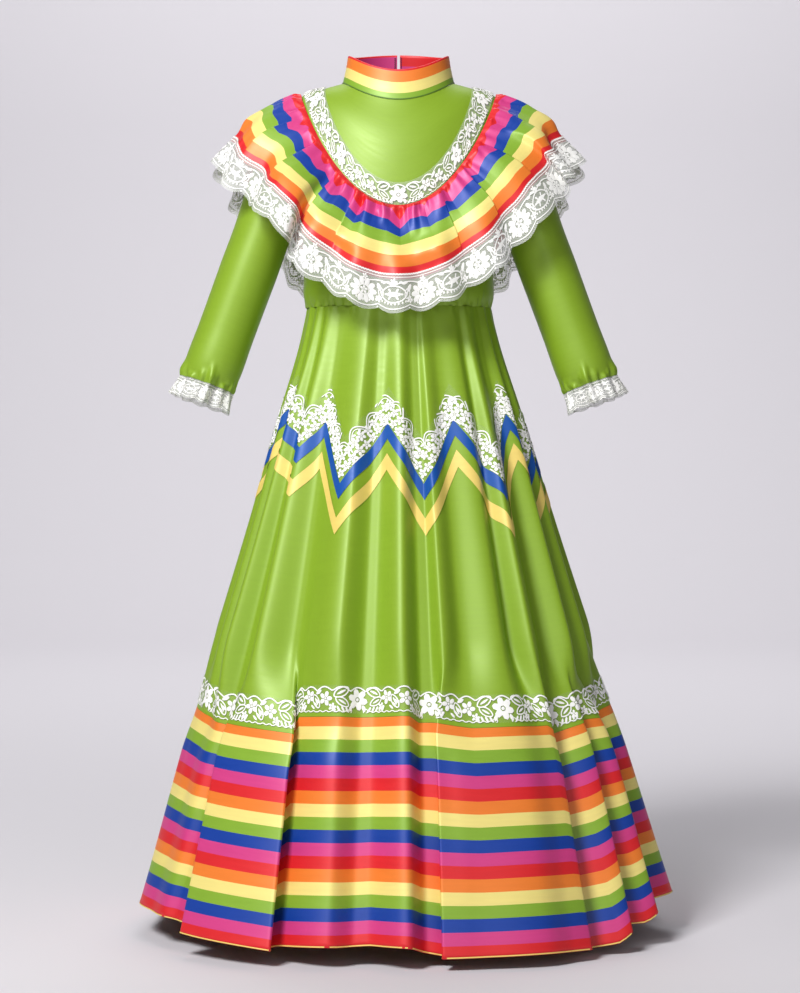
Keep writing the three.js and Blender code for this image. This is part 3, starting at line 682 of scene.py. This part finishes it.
def fan(x, y, long, wide, turn=0.0, sides=7, point=1.0, rise=0.45):
    """A raised petal or leaf: an oval outline, pointed where point is more than 1, round a high middle."""
    t = 2 * np.pi * np.arange(sides) / sides
    across = wide * np.sin(t) * np.abs(np.sin(t)) ** (point - 1)
    c, n = cos(turn), sin(turn)
    along = long * np.cos(t)
    outline = xyz(x + along * c - across * n, y + along * n + across * c, 0)
    points = np.concatenate([[[x, y, rise]], outline])
    return points, [(0, 1 + (i + 1) % sides, 1 + i) for i in range(sides)]


def cord(line, width=1.0, rise=0.3):
    """A flat cord along a line of points."""
    line = np.asarray(line, float)
    step = np.gradient(line, axis=0)
    side = np.stack([-step[:, 1], step[:, 0]], axis=-1)
    side = side / np.linalg.norm(side, axis=-1, keepdims=True) * width / 2
    flat = np.concatenate([line - side, line + side])
    points = np.concatenate([flat, np.full((len(flat), 1), rise)], axis=-1)
    n = len(line)
    faces = []
    for i in range(n - 1):
        faces += [(i, n + i, n + i + 1), (i, n + i + 1, i + 1)]
    return points, faces


def flower(x, y, radius, petals=5, turn=0.0):
    """Petals round a small raised middle."""
    parts = []
    for a in turn + np.arange(petals) * 360 / petals:
        at_x, at_y = x + 0.6 * radius * cos(a), y + 0.6 * radius * sin(a)
        parts.append(fan(at_x, at_y, 0.42 * radius, 0.31 * radius, a))
    return [*parts, fan(x, y, 0.17 * radius, 0.17 * radius, sides=6, rise=0.9)]


def ring(x, y, wide, high, width=1.0, steps=16):
    t = np.linspace(0, 2 * np.pi, steps + 1)
    return cord(np.stack([x + wide * np.cos(t), y + high * np.sin(t)], axis=-1), width)


def loop(x, y, long, wide, turn=0.0, width=1.2, steps=14):
    """The outline of a leaf, pointed at both ends, with its vein."""
    t = np.linspace(0, 2 * np.pi, steps + 1)
    across = wide * np.sin(t) * np.abs(np.sin(t)) ** 0.35
    c, n = cos(turn), sin(turn)
    along = long * np.cos(t)
    outline = cord(np.stack([x + along * c - across * n, y + along * n + across * c], axis=-1), width)
    return [outline, fan(x, y, 0.62 * long, 0.3 * wide, turn, 8, 1.4)]


def leaves(x, y, count, step_x, step_y, turn, long, wide):
    return [fan(x + i * step_x, y + i * step_y, long, wide, turn, 6, 1.5) for i in range(count)]


def waves(start, end, level, depth, period, steps, width=1.0, phase=0.0):
    x = np.linspace(start, end, steps + 1)
    return cord(np.stack([x, level - depth * np.abs(np.cos(np.pi * (x - phase) / period))], axis=-1), width)


def motif(name, parts):
    """The mesh that is repeated: x runs along its route and y down the cloth."""
    points, faces, count = [], [], 0
    for part_points, part_faces in parts:
        points.append(part_points)
        faces += [tuple(count + i for i in face) for face in part_faces]
        count += len(part_points)
    return mesh_object(name, np.concatenate(points), faces)


def motif_tree():
    """Repeats a motif along routes drawn in the cloth's coordinates and lays it on the cloth."""
    group = bpy.data.node_groups.new("motifs_on_cloth", "GeometryNodeTree")
    kinds = {"Geometry": "Geometry", "Cloth": "Object", "Motif": "Object", "Pitch": "Float", "Size": "Float",
             "Height": "Float", "Spin": "Float", "Vary": "Float", "Material": "Material"}
    names = {}
    for name, kind in kinds.items():
        socket = group.interface.new_socket(name=name, in_out="INPUT", socket_type=f"NodeSocket{kind}")
        names[name] = socket.identifier
    group.interface.new_socket(name="Geometry", in_out="OUTPUT", socket_type="NodeSocketGeometry")
    tree = Tree(group)
    given = tree.add("NodeGroupInput")
    route = tree.add("GeometryNodeMeshToCurve", {}, Mesh=given.out("Geometry"))
    route = tree.add("GeometryNodeResampleCurve", {"mode": "LENGTH"}, Curve=route, Length=given.out("Pitch"))
    facing = tree.add("FunctionNodeAlignRotationToVector", {"axis": "X", "pivot_axis": "Z"},
                      Vector=tree.add("GeometryNodeInputTangent"))
    spin = tree.add("FunctionNodeRandomValue", {"data_type": "FLOAT"}, None, None, given.out("Spin") * -1.0,
                    given.out("Spin"), output=1, Seed=3)
    spun = tree.add("FunctionNodeAxisAngleToRotation", {}, Axis=(0, 0, 1), Angle=spin)
    facing = tree.add("FunctionNodeRotateRotation", {"rotation_space": "LOCAL"}, facing, spun)
    size = tree.add("FunctionNodeRandomValue", {"data_type": "FLOAT"}, None, None, 1.0 - given.out("Vary"),
                    1.0 + given.out("Vary"), output=1, Seed=5)
    own_space = {"transform_space": "ORIGINAL"}
    shape = tree.add("GeometryNodeObjectInfo", own_space, given.out("Motif"))
    placed = tree.add("GeometryNodeInstanceOnPoints", {}, Points=route, Instance=shape.out("Geometry"),
                      Rotation=facing, Scale=size * given.out("Size"))
    real = tree.add("GeometryNodeRealizeInstances", {}, placed)
    spot = tree.add("ShaderNodeSeparateXYZ", {}, tree.add("GeometryNodeInputPosition"))
    flat = tree.add("ShaderNodeCombineXYZ", {}, spot.out("X"), spot.out("Y"), 0.0)
    cloth = tree.add("GeometryNodeObjectInfo", own_space, given.out("Cloth")).out("Geometry")
    vector = {"data_type": "FLOAT_VECTOR"}
    chart = tree.add("GeometryNodeInputNamedAttribute", vector, "cloth")
    found = {}
    for key, kind in (("place", "GeometryNodeInputPosition"), ("normal", "GeometryNodeInputNormal")):
        found[key] = tree.add("GeometryNodeSampleUVSurface", vector, cloth, tree.add(kind), chart, flat)
    lost = tree.add("FunctionNodeBooleanMath", {"operation": "NOT"}, found["place"].out("Is Valid"))
    kept = tree.add("GeometryNodeDeleteGeometry", {"domain": "POINT"}, real, lost)
    rise = tree.add("ShaderNodeVectorMath", {"operation": "SCALE"}, found["normal"],
                    Scale=spot.out("Z") + given.out("Height"))
    place = tree.add("ShaderNodeVectorMath", {"operation": "ADD"}, found["place"], rise)
    laid = tree.add("GeometryNodeSetPosition", {}, kept, None, place)
    laid = tree.add("GeometryNodeSetMaterial", {}, laid, None, given.out("Material"))
    tree.add("NodeGroupOutput", {}, laid)
    return group, names


MOTIF_TREE, MOTIF_INPUTS = motif_tree()
MOTIF_HEIGHT = 0.35  # how far the motifs lie off their cloth


def lay_motifs(name, cloth, shape, route, pitch, size=1.0, spin=0.0, vary=0.0, material=lace_thread):
    """Lays a motif along a route on a piece of cloth, both in the cloth's coordinates."""
    points = [(x * MM, y * MM, 0) for x, y in route]
    edges = [(i, i + 1) for i in range(len(route) - 1)]
    mesh = bpy.data.meshes.new(name)
    mesh.from_pydata(points, edges, [])
    thing = bpy.data.objects.new(name, mesh)
    bpy.context.scene.collection.objects.link(thing)
    modifier = thing.modifiers.new("motifs", "NODES")
    modifier.node_group = MOTIF_TREE
    values = {"Cloth": pieces[cloth]["object"], "Motif": shape, "Pitch": pitch * MM, "Size": size,
              "Height": MOTIF_HEIGHT * MM, "Spin": math.radians(spin), "Vary": vary, "Material": material}
    for key, value in values.items():
        modifier[MOTIF_INPUTS[key]] = value
    graph = bpy.context.evaluated_depsgraph_get()
    baked = bpy.data.meshes.new_from_object(thing.evaluated_get(graph), depsgraph=graph)
    thing.modifiers.clear()
    thing.data = baked
    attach(thing, "root")
    pieces[cloth]["with"].append(thing)


def whole_pitch(length, repeat):
    """The pitch nearest to a repeat that fits into a length a whole number of times."""
    return length / max(round(length / repeat), 1)


def lay_flowers(cloth, shape, drawn, length, level, pitch):
    """Lays a lace's pattern, drawn over one repeat, end to end along it."""
    route = [(pitch / 2, level), (length - pitch / 2, level)]
    lay_motifs(f"{cloth}_flowers", cloth, shape, route, pitch, pitch / drawn)


def edge_scallops(level, pitch, depth):
    """How far a scalloped edge draws back, with two scallops in each repeat."""
    return depth * (1 - np.abs(np.cos(2 * np.pi * (level / pitch - 0.5))))


HEM_REPEAT = 98
EDGING_REPEAT = 76
EDGING_DEPTH = 45
EDGING_SCALLOP = 5
EDGE_ARC = 5.2  # how far the lines along the edging bend within a scallop
hem_motif = motif("hem_motif", [
    *flower(0, -0.5, 12, 6, 15), *flower(37, -3, 8, 5, 30), *flower(-38, -1, 8, 5, 0),
    *loop(19, -8, 9, 4.6, 24, 1.5), *loop(22, 1.5, 8, 4, -28, 1.4),
    *loop(-20, -8, 9, 4.6, -30, 1.5), *loop(-19, 2.5, 8, 4, 32, 1.4), *loop(48, 2, 8, 3.8, 62, 1.4),
    fan(51, -8, 4.4, 2.2, -30, 8, 1.4), fan(8, 9, 4, 2, 70, 8, 1.4), fan(-9, 9, 4, 2, -70, 8, 1.4),
    *leaves(14, 10.5, 5, 4.4, -0.4, -65, 3.6, 1.4), *leaves(-14, 10.5, 4, -4.6, -0.3, 65, 3.6, 1.4),
    *leaves(43, 8, 3, 3.4, -3, 40, 3.6, 1.4), *flower(29, 7, 4.6, 5), *flower(-30, 8, 4.6, 5),
    waves(-49, 49, -9, 4.6, 19.6, 42, 1.5), ring(10, 12, 2.4, 2.4, 1, 8), ring(-10, 12, 2.4, 2.4, 1, 8),
    waves(-49, -12, 14, 2, 7.4, 20, 1.1), waves(12, 49, 14, 2, 7.4, 20, 1.1),
])
edging_motif = motif("edging_motif", [
    waves(-38, 38, -0.9 - EDGE_ARC, -EDGE_ARC, 38, 40, 2),
    waves(-38, 38, -4.4 - EDGE_ARC, -EDGE_ARC, 38, 40, 1.3),
    *[fan(11.5 * cos(a), -21 + 9.5 * sin(a), 5, 3.2, a, 8) for a in range(0, 360, 36)],
    ring(0, -21, 6.6, 5.6, 1.6, 14), *flower(0, -21, 5, 5, 54),
    *loop(38, -21, 15, 9.5, 0, 1.7, 22),
    *[fan(38 + 8.6 * cos(a), -21 + 4.6 * sin(a), 3, 1.4, a, 6, 1.4) for a in range(0, 360, 60)],
    *loop(22, -22, 6, 3.2, 78, 1.2), *loop(-22, -22, 6, 3.2, -78, 1.2),
    *flower(38, -35, 4.6), *flower(0, -36, 4),
    *[fan(x, -10 - EDGE_ARC * (1 - abs(cos(x * 180 / 38))), 1.5, 1.1, 90, 6) for x in range(-36, 38, 4)],
    fan(19, -28, 5, 2.6, 60, 8, 1.4), fan(-19, -28, 5, 2.6, -60, 8, 1.4),
    *flower(19, -15, 4.4), *flower(-19, -15, 4.4),
    *leaves(24, -34, 4, 8, 0, 20, 4, 1.8), *leaves(-24, -34, 1, -8, 0, -20, 4, 1.8),
    waves(-38, 38, -31, 4.5, 38, 30, 1.5, 19), waves(-38, 38, -43.4, 1, 3.8, 100, 1.6),
    waves(-38, 38, -40.5, 0, 76, 12, 0.9),
])
spray_motif = motif("spray_motif", flower(0, 0, 6.0))
arc_motif = motif("arc_motif", [
    waves(-13, 13, 3, 11, 26, 14, 1.5), waves(-9.5, 9.5, 2, 6.5, 19, 10, 1.0),
    fan(-4, -0.5, 2.6, 1.5, 40, 7, 1.4), fan(4, -0.5, 2.6, 1.5, -40, 7, 1.4),
])
stitch_motif = motif("stitch_motif", [fan(0, 0, 1.2, 1.1, rise=0.8)])
line_motif = motif("line_motif", [cord([(-4.8, 0), (4.8, 0)], 1.3)])

# ---- skirt and flounce ----

FLOUNCE_SHIFT = 0.25 * STRIPE - SKIRT_LENGTH  # takes a quarter of the first stripe into the seam
HEM_EDGE_UP = 0.9  # how far above the hem its coloured edge lies

for place, start in (("front", -90), ("back", 90)):
    around = np.linspace(start, start + 180, 420)[None, :]
    downs = np.concatenate([np.linspace(0, 60, 20)[:-1], np.linspace(60, SKIRT_LENGTH, 70)])
    grid = skirt_point(downs[:, None], around)
    sew(f"skirt_{place}", grid, downs, green_satin, [f"skirt_{place}"])
    downs = np.linspace(SKIRT_LENGTH + SEAM, HEM, 50)
    grid = skirt_point(downs[:, None], around)
    reach = lengths_across(grid[-1:])[0, -1] / 2
    normals = normals_of(skirt_point, downs[:, None], around)
    grid, downs = with_hem(grid, normals, downs)
    sew(f"flounce_{place}", grid, downs, striped_satin, [f"flounce_{place}"],
        shift=FLOUNCE_SHIFT)
    level = HEM + FLOUNCE_SHIFT - HEM_EDGE_UP
    lay_motifs(f"hem_edge_{place}", f"flounce_{place}", line_motif, [(-reach, level), (reach, level)], 8,
               material=yellow_ribbon)


# ---- trims on the skirt ----

def zigzag_fall(around):
    """How far down the zigzag is, from 0 at a peak to 1 at a valley."""
    return np.interp(turn_from(around, 96) + 96, TURNS["at"], TURNS["fall"])


def skirt_trim(name, lines, rows, height, material):
    """A trim sewn round the skirt between two lines, and its lengths along and its two edges."""
    around = np.unique(np.concatenate([np.linspace(-84, 276, 1300), TURNS["at"]]))[None, :]
    (top_peak, top_valley), (low_peak, low_valley) = lines
    fall = zigzag_fall(around)
    top = top_peak + (top_valley - top_peak) * fall
    low = low_peak + (low_valley - low_peak) * fall
    share = np.linspace(0, 1, rows)[:, None]
    downs = top + (low - top) * share
    grid = skirt_point(downs, around) + normals_of(skirt_point, downs, around) * height
    level = lengths_across(skirt_point(np.full_like(around, (top_peak + low_valley) / 2), around))
    uv = np.stack([np.broadcast_to(level, downs.shape), downs], axis=-1)
    sew(name, grid, None, material, [name], uv=uv)
    return level[0], top[0], low[0]


def offset_route(level, top, low, share):
    """A route along a trim, at a share of the way from its upper edge to its lower one."""
    return np.stack([level, top + (low - top) * share], axis=-1)


level, top, low = skirt_trim("zigzag_lace", ZIGZAG_LACE, 5, 0.5, clear_net)
for share, name in ((0.46, "upper"), (0.8, "lower")):
    route = offset_route(level, top, low, share)
    lay_motifs(f"zigzag_flowers_{name}", "zigzag_lace", spray_motif, route, 11, spin=180, vary=0.12)
lay_motifs("zigzag_scallops", "zigzag_lace", arc_motif, offset_route(level, top, low, 0.3), 25)
lay_motifs("zigzag_edge", "zigzag_lace", line_motif, offset_route(level, top, low, 0.98), 8)
skirt_trim("ribbon_blue", RIBBON_BLUE, 3, 0.7, blue_ribbon)
skirt_trim("ribbon_yellow", RIBBON_YELLOW, 3, 0.7, yellow_ribbon)
level, top, low = skirt_trim("hem_lace", HEM_LACE, 5, 0.5, clear_net)
pitch = whole_pitch(level[-1], HEM_REPEAT)
lay_flowers("hem_lace", hem_motif, HEM_REPEAT, level[-1], HEM_LACE_MIDDLE, pitch)

# ---- ruffle ----


def edging(name, shape, around, bottom, depth, lift):
    """A scalloped edging lace whose lower edge is at bottom, with its motifs."""
    size = depth / EDGING_DEPTH
    level = lengths_across(shape(np.full_like(around, bottom - depth / 2), around))
    pitch = whole_pitch(level[0, -1], EDGING_REPEAT * size)
    low = bottom - edge_scallops(level, pitch, EDGING_SCALLOP * size)
    downs = bottom - depth + (low - bottom + depth) * np.linspace(0, 1, 18)[:, None]
    grid = shape(downs, around)
    facing = normals_of(shape, downs, np.broadcast_to(around, downs.shape))
    grid = grid + facing * lift
    uv = np.stack([np.broadcast_to(level, downs.shape), downs], axis=-1)
    sew(name, grid, None, white_net, [name], uv=uv)
    lay_flowers(name, edging_motif, EDGING_REPEAT, level[0, -1], bottom, pitch)


RUFFLE_PARTS = {"back_right": (-OPENING, -90), "front": (-90, 90), "back_left": (90, OPENING)}
RUFFLE_SHIFT = 5 * STRIPE + 4  # shows 4 mm of the red stripe at the ruffle's head
for place, (start, end) in RUFFLE_PARTS.items():
    around = np.linspace(start, end, int((end - start) * 4))[None, :]
    downs = np.linspace(0, RUFFLE_DEPTH, 46)
    grid = ruffle_point(downs[:, None], around)
    bunched = HEAD_DRAW * gather_height(HEAD_GATHERS, around, downs[:, None], HEAD_REACH)
    bunched = bunched + tucked(downs[:, None], around) + pressed(downs[:, None], around)[0]
    bunched = bunched - downs[:, None]
    sew(f"ruffle_{place}", grid, bunched, striped_satin, [f"ruffle_{place}"],
        shift=RUFFLE_SHIFT)
    edging(f"ruffle_lace_{place}", ruffle_point, around, RUFFLE_DEPTH + RUFFLE_LACE, EDGING_DEPTH, 0.6)

# ---- bodice ----


def body_rows():
    """The rows of the bodice from the neck down, with the angle of its side edge in each."""
    armhole, edge = armhole_place(np.linspace(0, 180, 40))
    above = np.linspace(7, 4, 50)[:-1]
    below = np.linspace(3, 0, 40)[1:]
    levels = np.concatenate([above, armhole, below])
    return levels, np.concatenate([np.full_like(above, 90), edge, np.full_like(below, 90)])


def bodice_panel(name, first, last):
    """A panel of the bodice between two edges, each given by its angle in every row."""
    share = np.linspace(0, 1, 140)[None, :]
    grid = body_point(body_levels[:, None], first[:, None] + (last - first)[:, None] * share)
    sew(name, grid, lengths_down(grid), green_satin, [name])


body_levels, side_edges = body_rows()
slit_edge = np.full_like(side_edges, 179.7)
bodice_panel("bodice_front", -side_edges, side_edges)
bodice_panel("bodice_back_left", 180 - side_edges, slit_edge)
bodice_panel("bodice_back_right", -slit_edge, side_edges - 180)

PLACKET_IN = 2.0
around = np.linspace(170, 190, 12)[None, :]
grid = body_point(body_levels[:, None], around) - body_normal(body_levels[:, None], around) * PLACKET_IN
sew("back_placket", grid, lengths_down(grid), green_satin, ["back_placket"])

# ---- collar and yoke lace ----


def collar_point(up, around):
    """A point on the collar, from 0 at its seam to 1 at its rim."""
    return ring_point(COLLAR, "up", up, around)


COLLAR_WALL = 1.6
COLLAR_SHIFT = -3.2  # leaves a little of the red stripe at the rim
OUTSIDE_SCALE = 1.14
INSIDE_SCALE = 0.75
INSIDE_STEP = STRIPE - 3.6  # how far the stripes are offset inside, at the back on the wearer's right

around = np.linspace(-OPENING, OPENING, 300)[None, :]
ups = np.linspace(0, 1, 14)
outer = collar_point(ups[:, None], around)
facing = -normals_of(lambda v, u: collar_point(np.clip(v, 0, 1), u), ups[:, None], around, 0.02, 0.5)
inner = outer - facing * COLLAR_WALL
rim = (outer[-1] + inner[-1]) / 2 + np.array([0, 0, COLLAR_WALL / 2])
grid = np.concatenate([inner[1:], rim[None], outer[::-1]])
downs = lengths_down(grid)[:, None] + np.zeros(around.shape)
rim_down = downs[len(ups) - 1, 0]
outside = OUTSIDE_SCALE * (downs - rim_down)
stepped = INSIDE_STEP * smooth((rim_down - downs) / 2) * smooth((-around - 50) / 60)
inside = INSIDE_SCALE * (downs - rim_down) - stepped
sew("collar", grid, np.where(downs > rim_down, outside, inside), striped_satin, ["collar"],
    shift=COLLAR_SHIFT)
reach = lengths_across(grid[-1:])[0, -1] / 2
# A dark green line along the foot of the collar: it marks the real seam, and its darkness is painted shade
# from the seam's groove.
level = outside[-1, 0] + COLLAR_SHIFT - 0.8
lay_motifs("collar_seam", "collar", line_motif, [(-reach, level), (reach, level)], 8,
           material=painted_seam_shade)
slit = lengths_across(grid)[:, -1] / 2 - 1.6
for side, sign, column in (("left", 1, -1), ("right", -1, 0)):
    route = [(sign * slit[i], inside[i, column] + COLLAR_SHIFT) for i in range(1, len(ups) - 2)]
    lay_motifs(f"slit_stitches_{side}", "collar", stitch_motif, route, 2.0, material=rose_thread)

YOKE_LACE_OUT = 1.9
YOKE_REPEAT = 0.88 * HEM_REPEAT
around = np.linspace(-OPENING, OPENING, 400)[None, :]
span = np.linalg.norm(ring_point(BODY, "level", 6, around) - ring_point(BODY, "level", 5, around), axis=-1)
heights = np.linspace(YOKE_LACE, 1.5, 8)[:, None]
levels = 5 + heights / span
grid = body_point(levels, around) + body_normal(levels, around) * YOKE_LACE_OUT
level = lengths_across(grid[4:5])
uv = np.stack(np.broadcast_arrays(level, YOKE_LACE - heights), axis=-1)
sew("yoke_lace", grid, None, pale_net, ["yoke_lace"], held="laid", uv=uv)
pitch = whole_pitch(level[0, -1], YOKE_REPEAT)
lay_flowers("yoke_lace", hem_motif, HEM_REPEAT, level[0, -1], YOKE_LACE / 2, pitch)

# ---- sleeves and cuff laces ----


def cuff_point(down, turn):
    """A point on the left cuff's lace, at a length down from the elastic."""
    down, turn = np.broadcast_arrays(np.asarray(down, float), np.asarray(turn, float))
    wrist = sleeve_point(np.full_like(turn, SLEEVE_LENGTH), turn)
    ray = wrist - WRIST_CENTRE
    ray = ray / np.linalg.norm(ray, axis=-1, keepdims=True)
    t = down / CUFF_LACE
    wave = 3 + 4.5 * cos(5 * turn + 30 * sin(2 * turn + 40))
    return wrist + SLEEVE_AXIS * (SEAM + down)[..., None] + ray * (wave * t)[..., None]


def right_cuff_point(down, turn):
    return cuff_point(down, turn) * MIRROR


turns = np.linspace(180, -180, 220)[None, :]
alongs = np.concatenate([np.linspace(0, 220, 90)[:-1], np.linspace(220, SLEEVE_LENGTH, 30)])
sleeve = sleeve_point(alongs[:, None], turns)
sew("sleeve_left", sleeve, alongs, green_satin, ["sleeve_left"])
edging("cuff_lace_left", cuff_point, turns, CUFF_LACE, CUFF_LACE, 0)
sew("sleeve_right", sleeve[:, ::-1] * MIRROR, alongs, green_satin, ["sleeve_right"])
edging("cuff_lace_right", right_cuff_point, turns[:, ::-1], CUFF_LACE, CUFF_LACE, 0)

for shape in (hem_motif, edging_motif, spray_motif, arc_motif, line_motif, stitch_motif):
    bpy.data.objects.remove(shape)

# ---- floor, light and camera ----

# Here the lengths are in metres.
FLOOR_Z = -0.968
SWEEP_SIDE = 7.0
SWEEP_BACK = 6.0
SWEEP_TOP = 6.0
SWEEP_BEND = 1.6


def sweep():
    """A pale floor that curves up into a plain wall behind the dress."""
    bend = np.radians(np.linspace(0, 90, 13))
    curve = SWEEP_BACK - SWEEP_BEND + SWEEP_BEND * np.sin(bend)
    ys = np.concatenate([[-SWEEP_SIDE], curve, [SWEEP_BACK]])
    zs = np.concatenate([[0.0], SWEEP_BEND - SWEEP_BEND * np.cos(bend), [SWEEP_TOP]]) + FLOOR_Z
    points = np.array([[[x, y, z] for x in (-SWEEP_SIDE, SWEEP_SIDE)] for y, z in zip(ys, zs)]) / MM
    return mesh_object("studio_sweep", points, grid_faces(len(ys), 2)[:, ::-1])


backdrop = sweep()
material, tree = new_material("studio_grey")
surface(tree, Base_Color=linear(STUDIO_GREY), Roughness=0.9)
backdrop.data.materials.append(material)


def area_light(name, place, target, size, power):
    data = bpy.data.lights.new(name, "AREA")
    data.shape = "SQUARE"
    data.size = size
    data.energy = power
    light = bpy.data.objects.new(name, data)
    light.location = place
    light.rotation_euler = (Vector(target) - Vector(place)).to_track_quat("-Z", "Y").to_euler()
    bpy.context.scene.collection.objects.link(light)


area_light("key", (-1.3, -2.4, 1.7), (0, 0, -0.38), 0.9, 128)
area_light("fill", (0.7, -3.6, 0.3), (0, 0, -0.5), 1.6, 12)
area_light("back", (0.0, 2.8, 3.6), (0, 5.6, 0.0), 3.0, 185)

world = bpy.data.worlds.new("studio")
world.use_nodes = True
background = world.node_tree.nodes["Background"]
background.inputs["Color"].default_value = (0.95, 0.95, 1.0, 1)
background.inputs["Strength"].default_value = 0.11
bpy.context.scene.world = world
bpy.context.scene.view_settings.view_transform = "Standard"

camera_data = bpy.data.cameras.new("camera")
camera_data.lens = 100.88
camera_data.sensor_width = 36
camera = bpy.data.objects.new("camera", camera_data)
camera.location = (0.0017, -3.2, -0.409)
camera.rotation_euler = (math.radians(90 - 1.163), 0, 0)
bpy.context.scene.collection.objects.link(camera)
bpy.context.scene.camera = camera
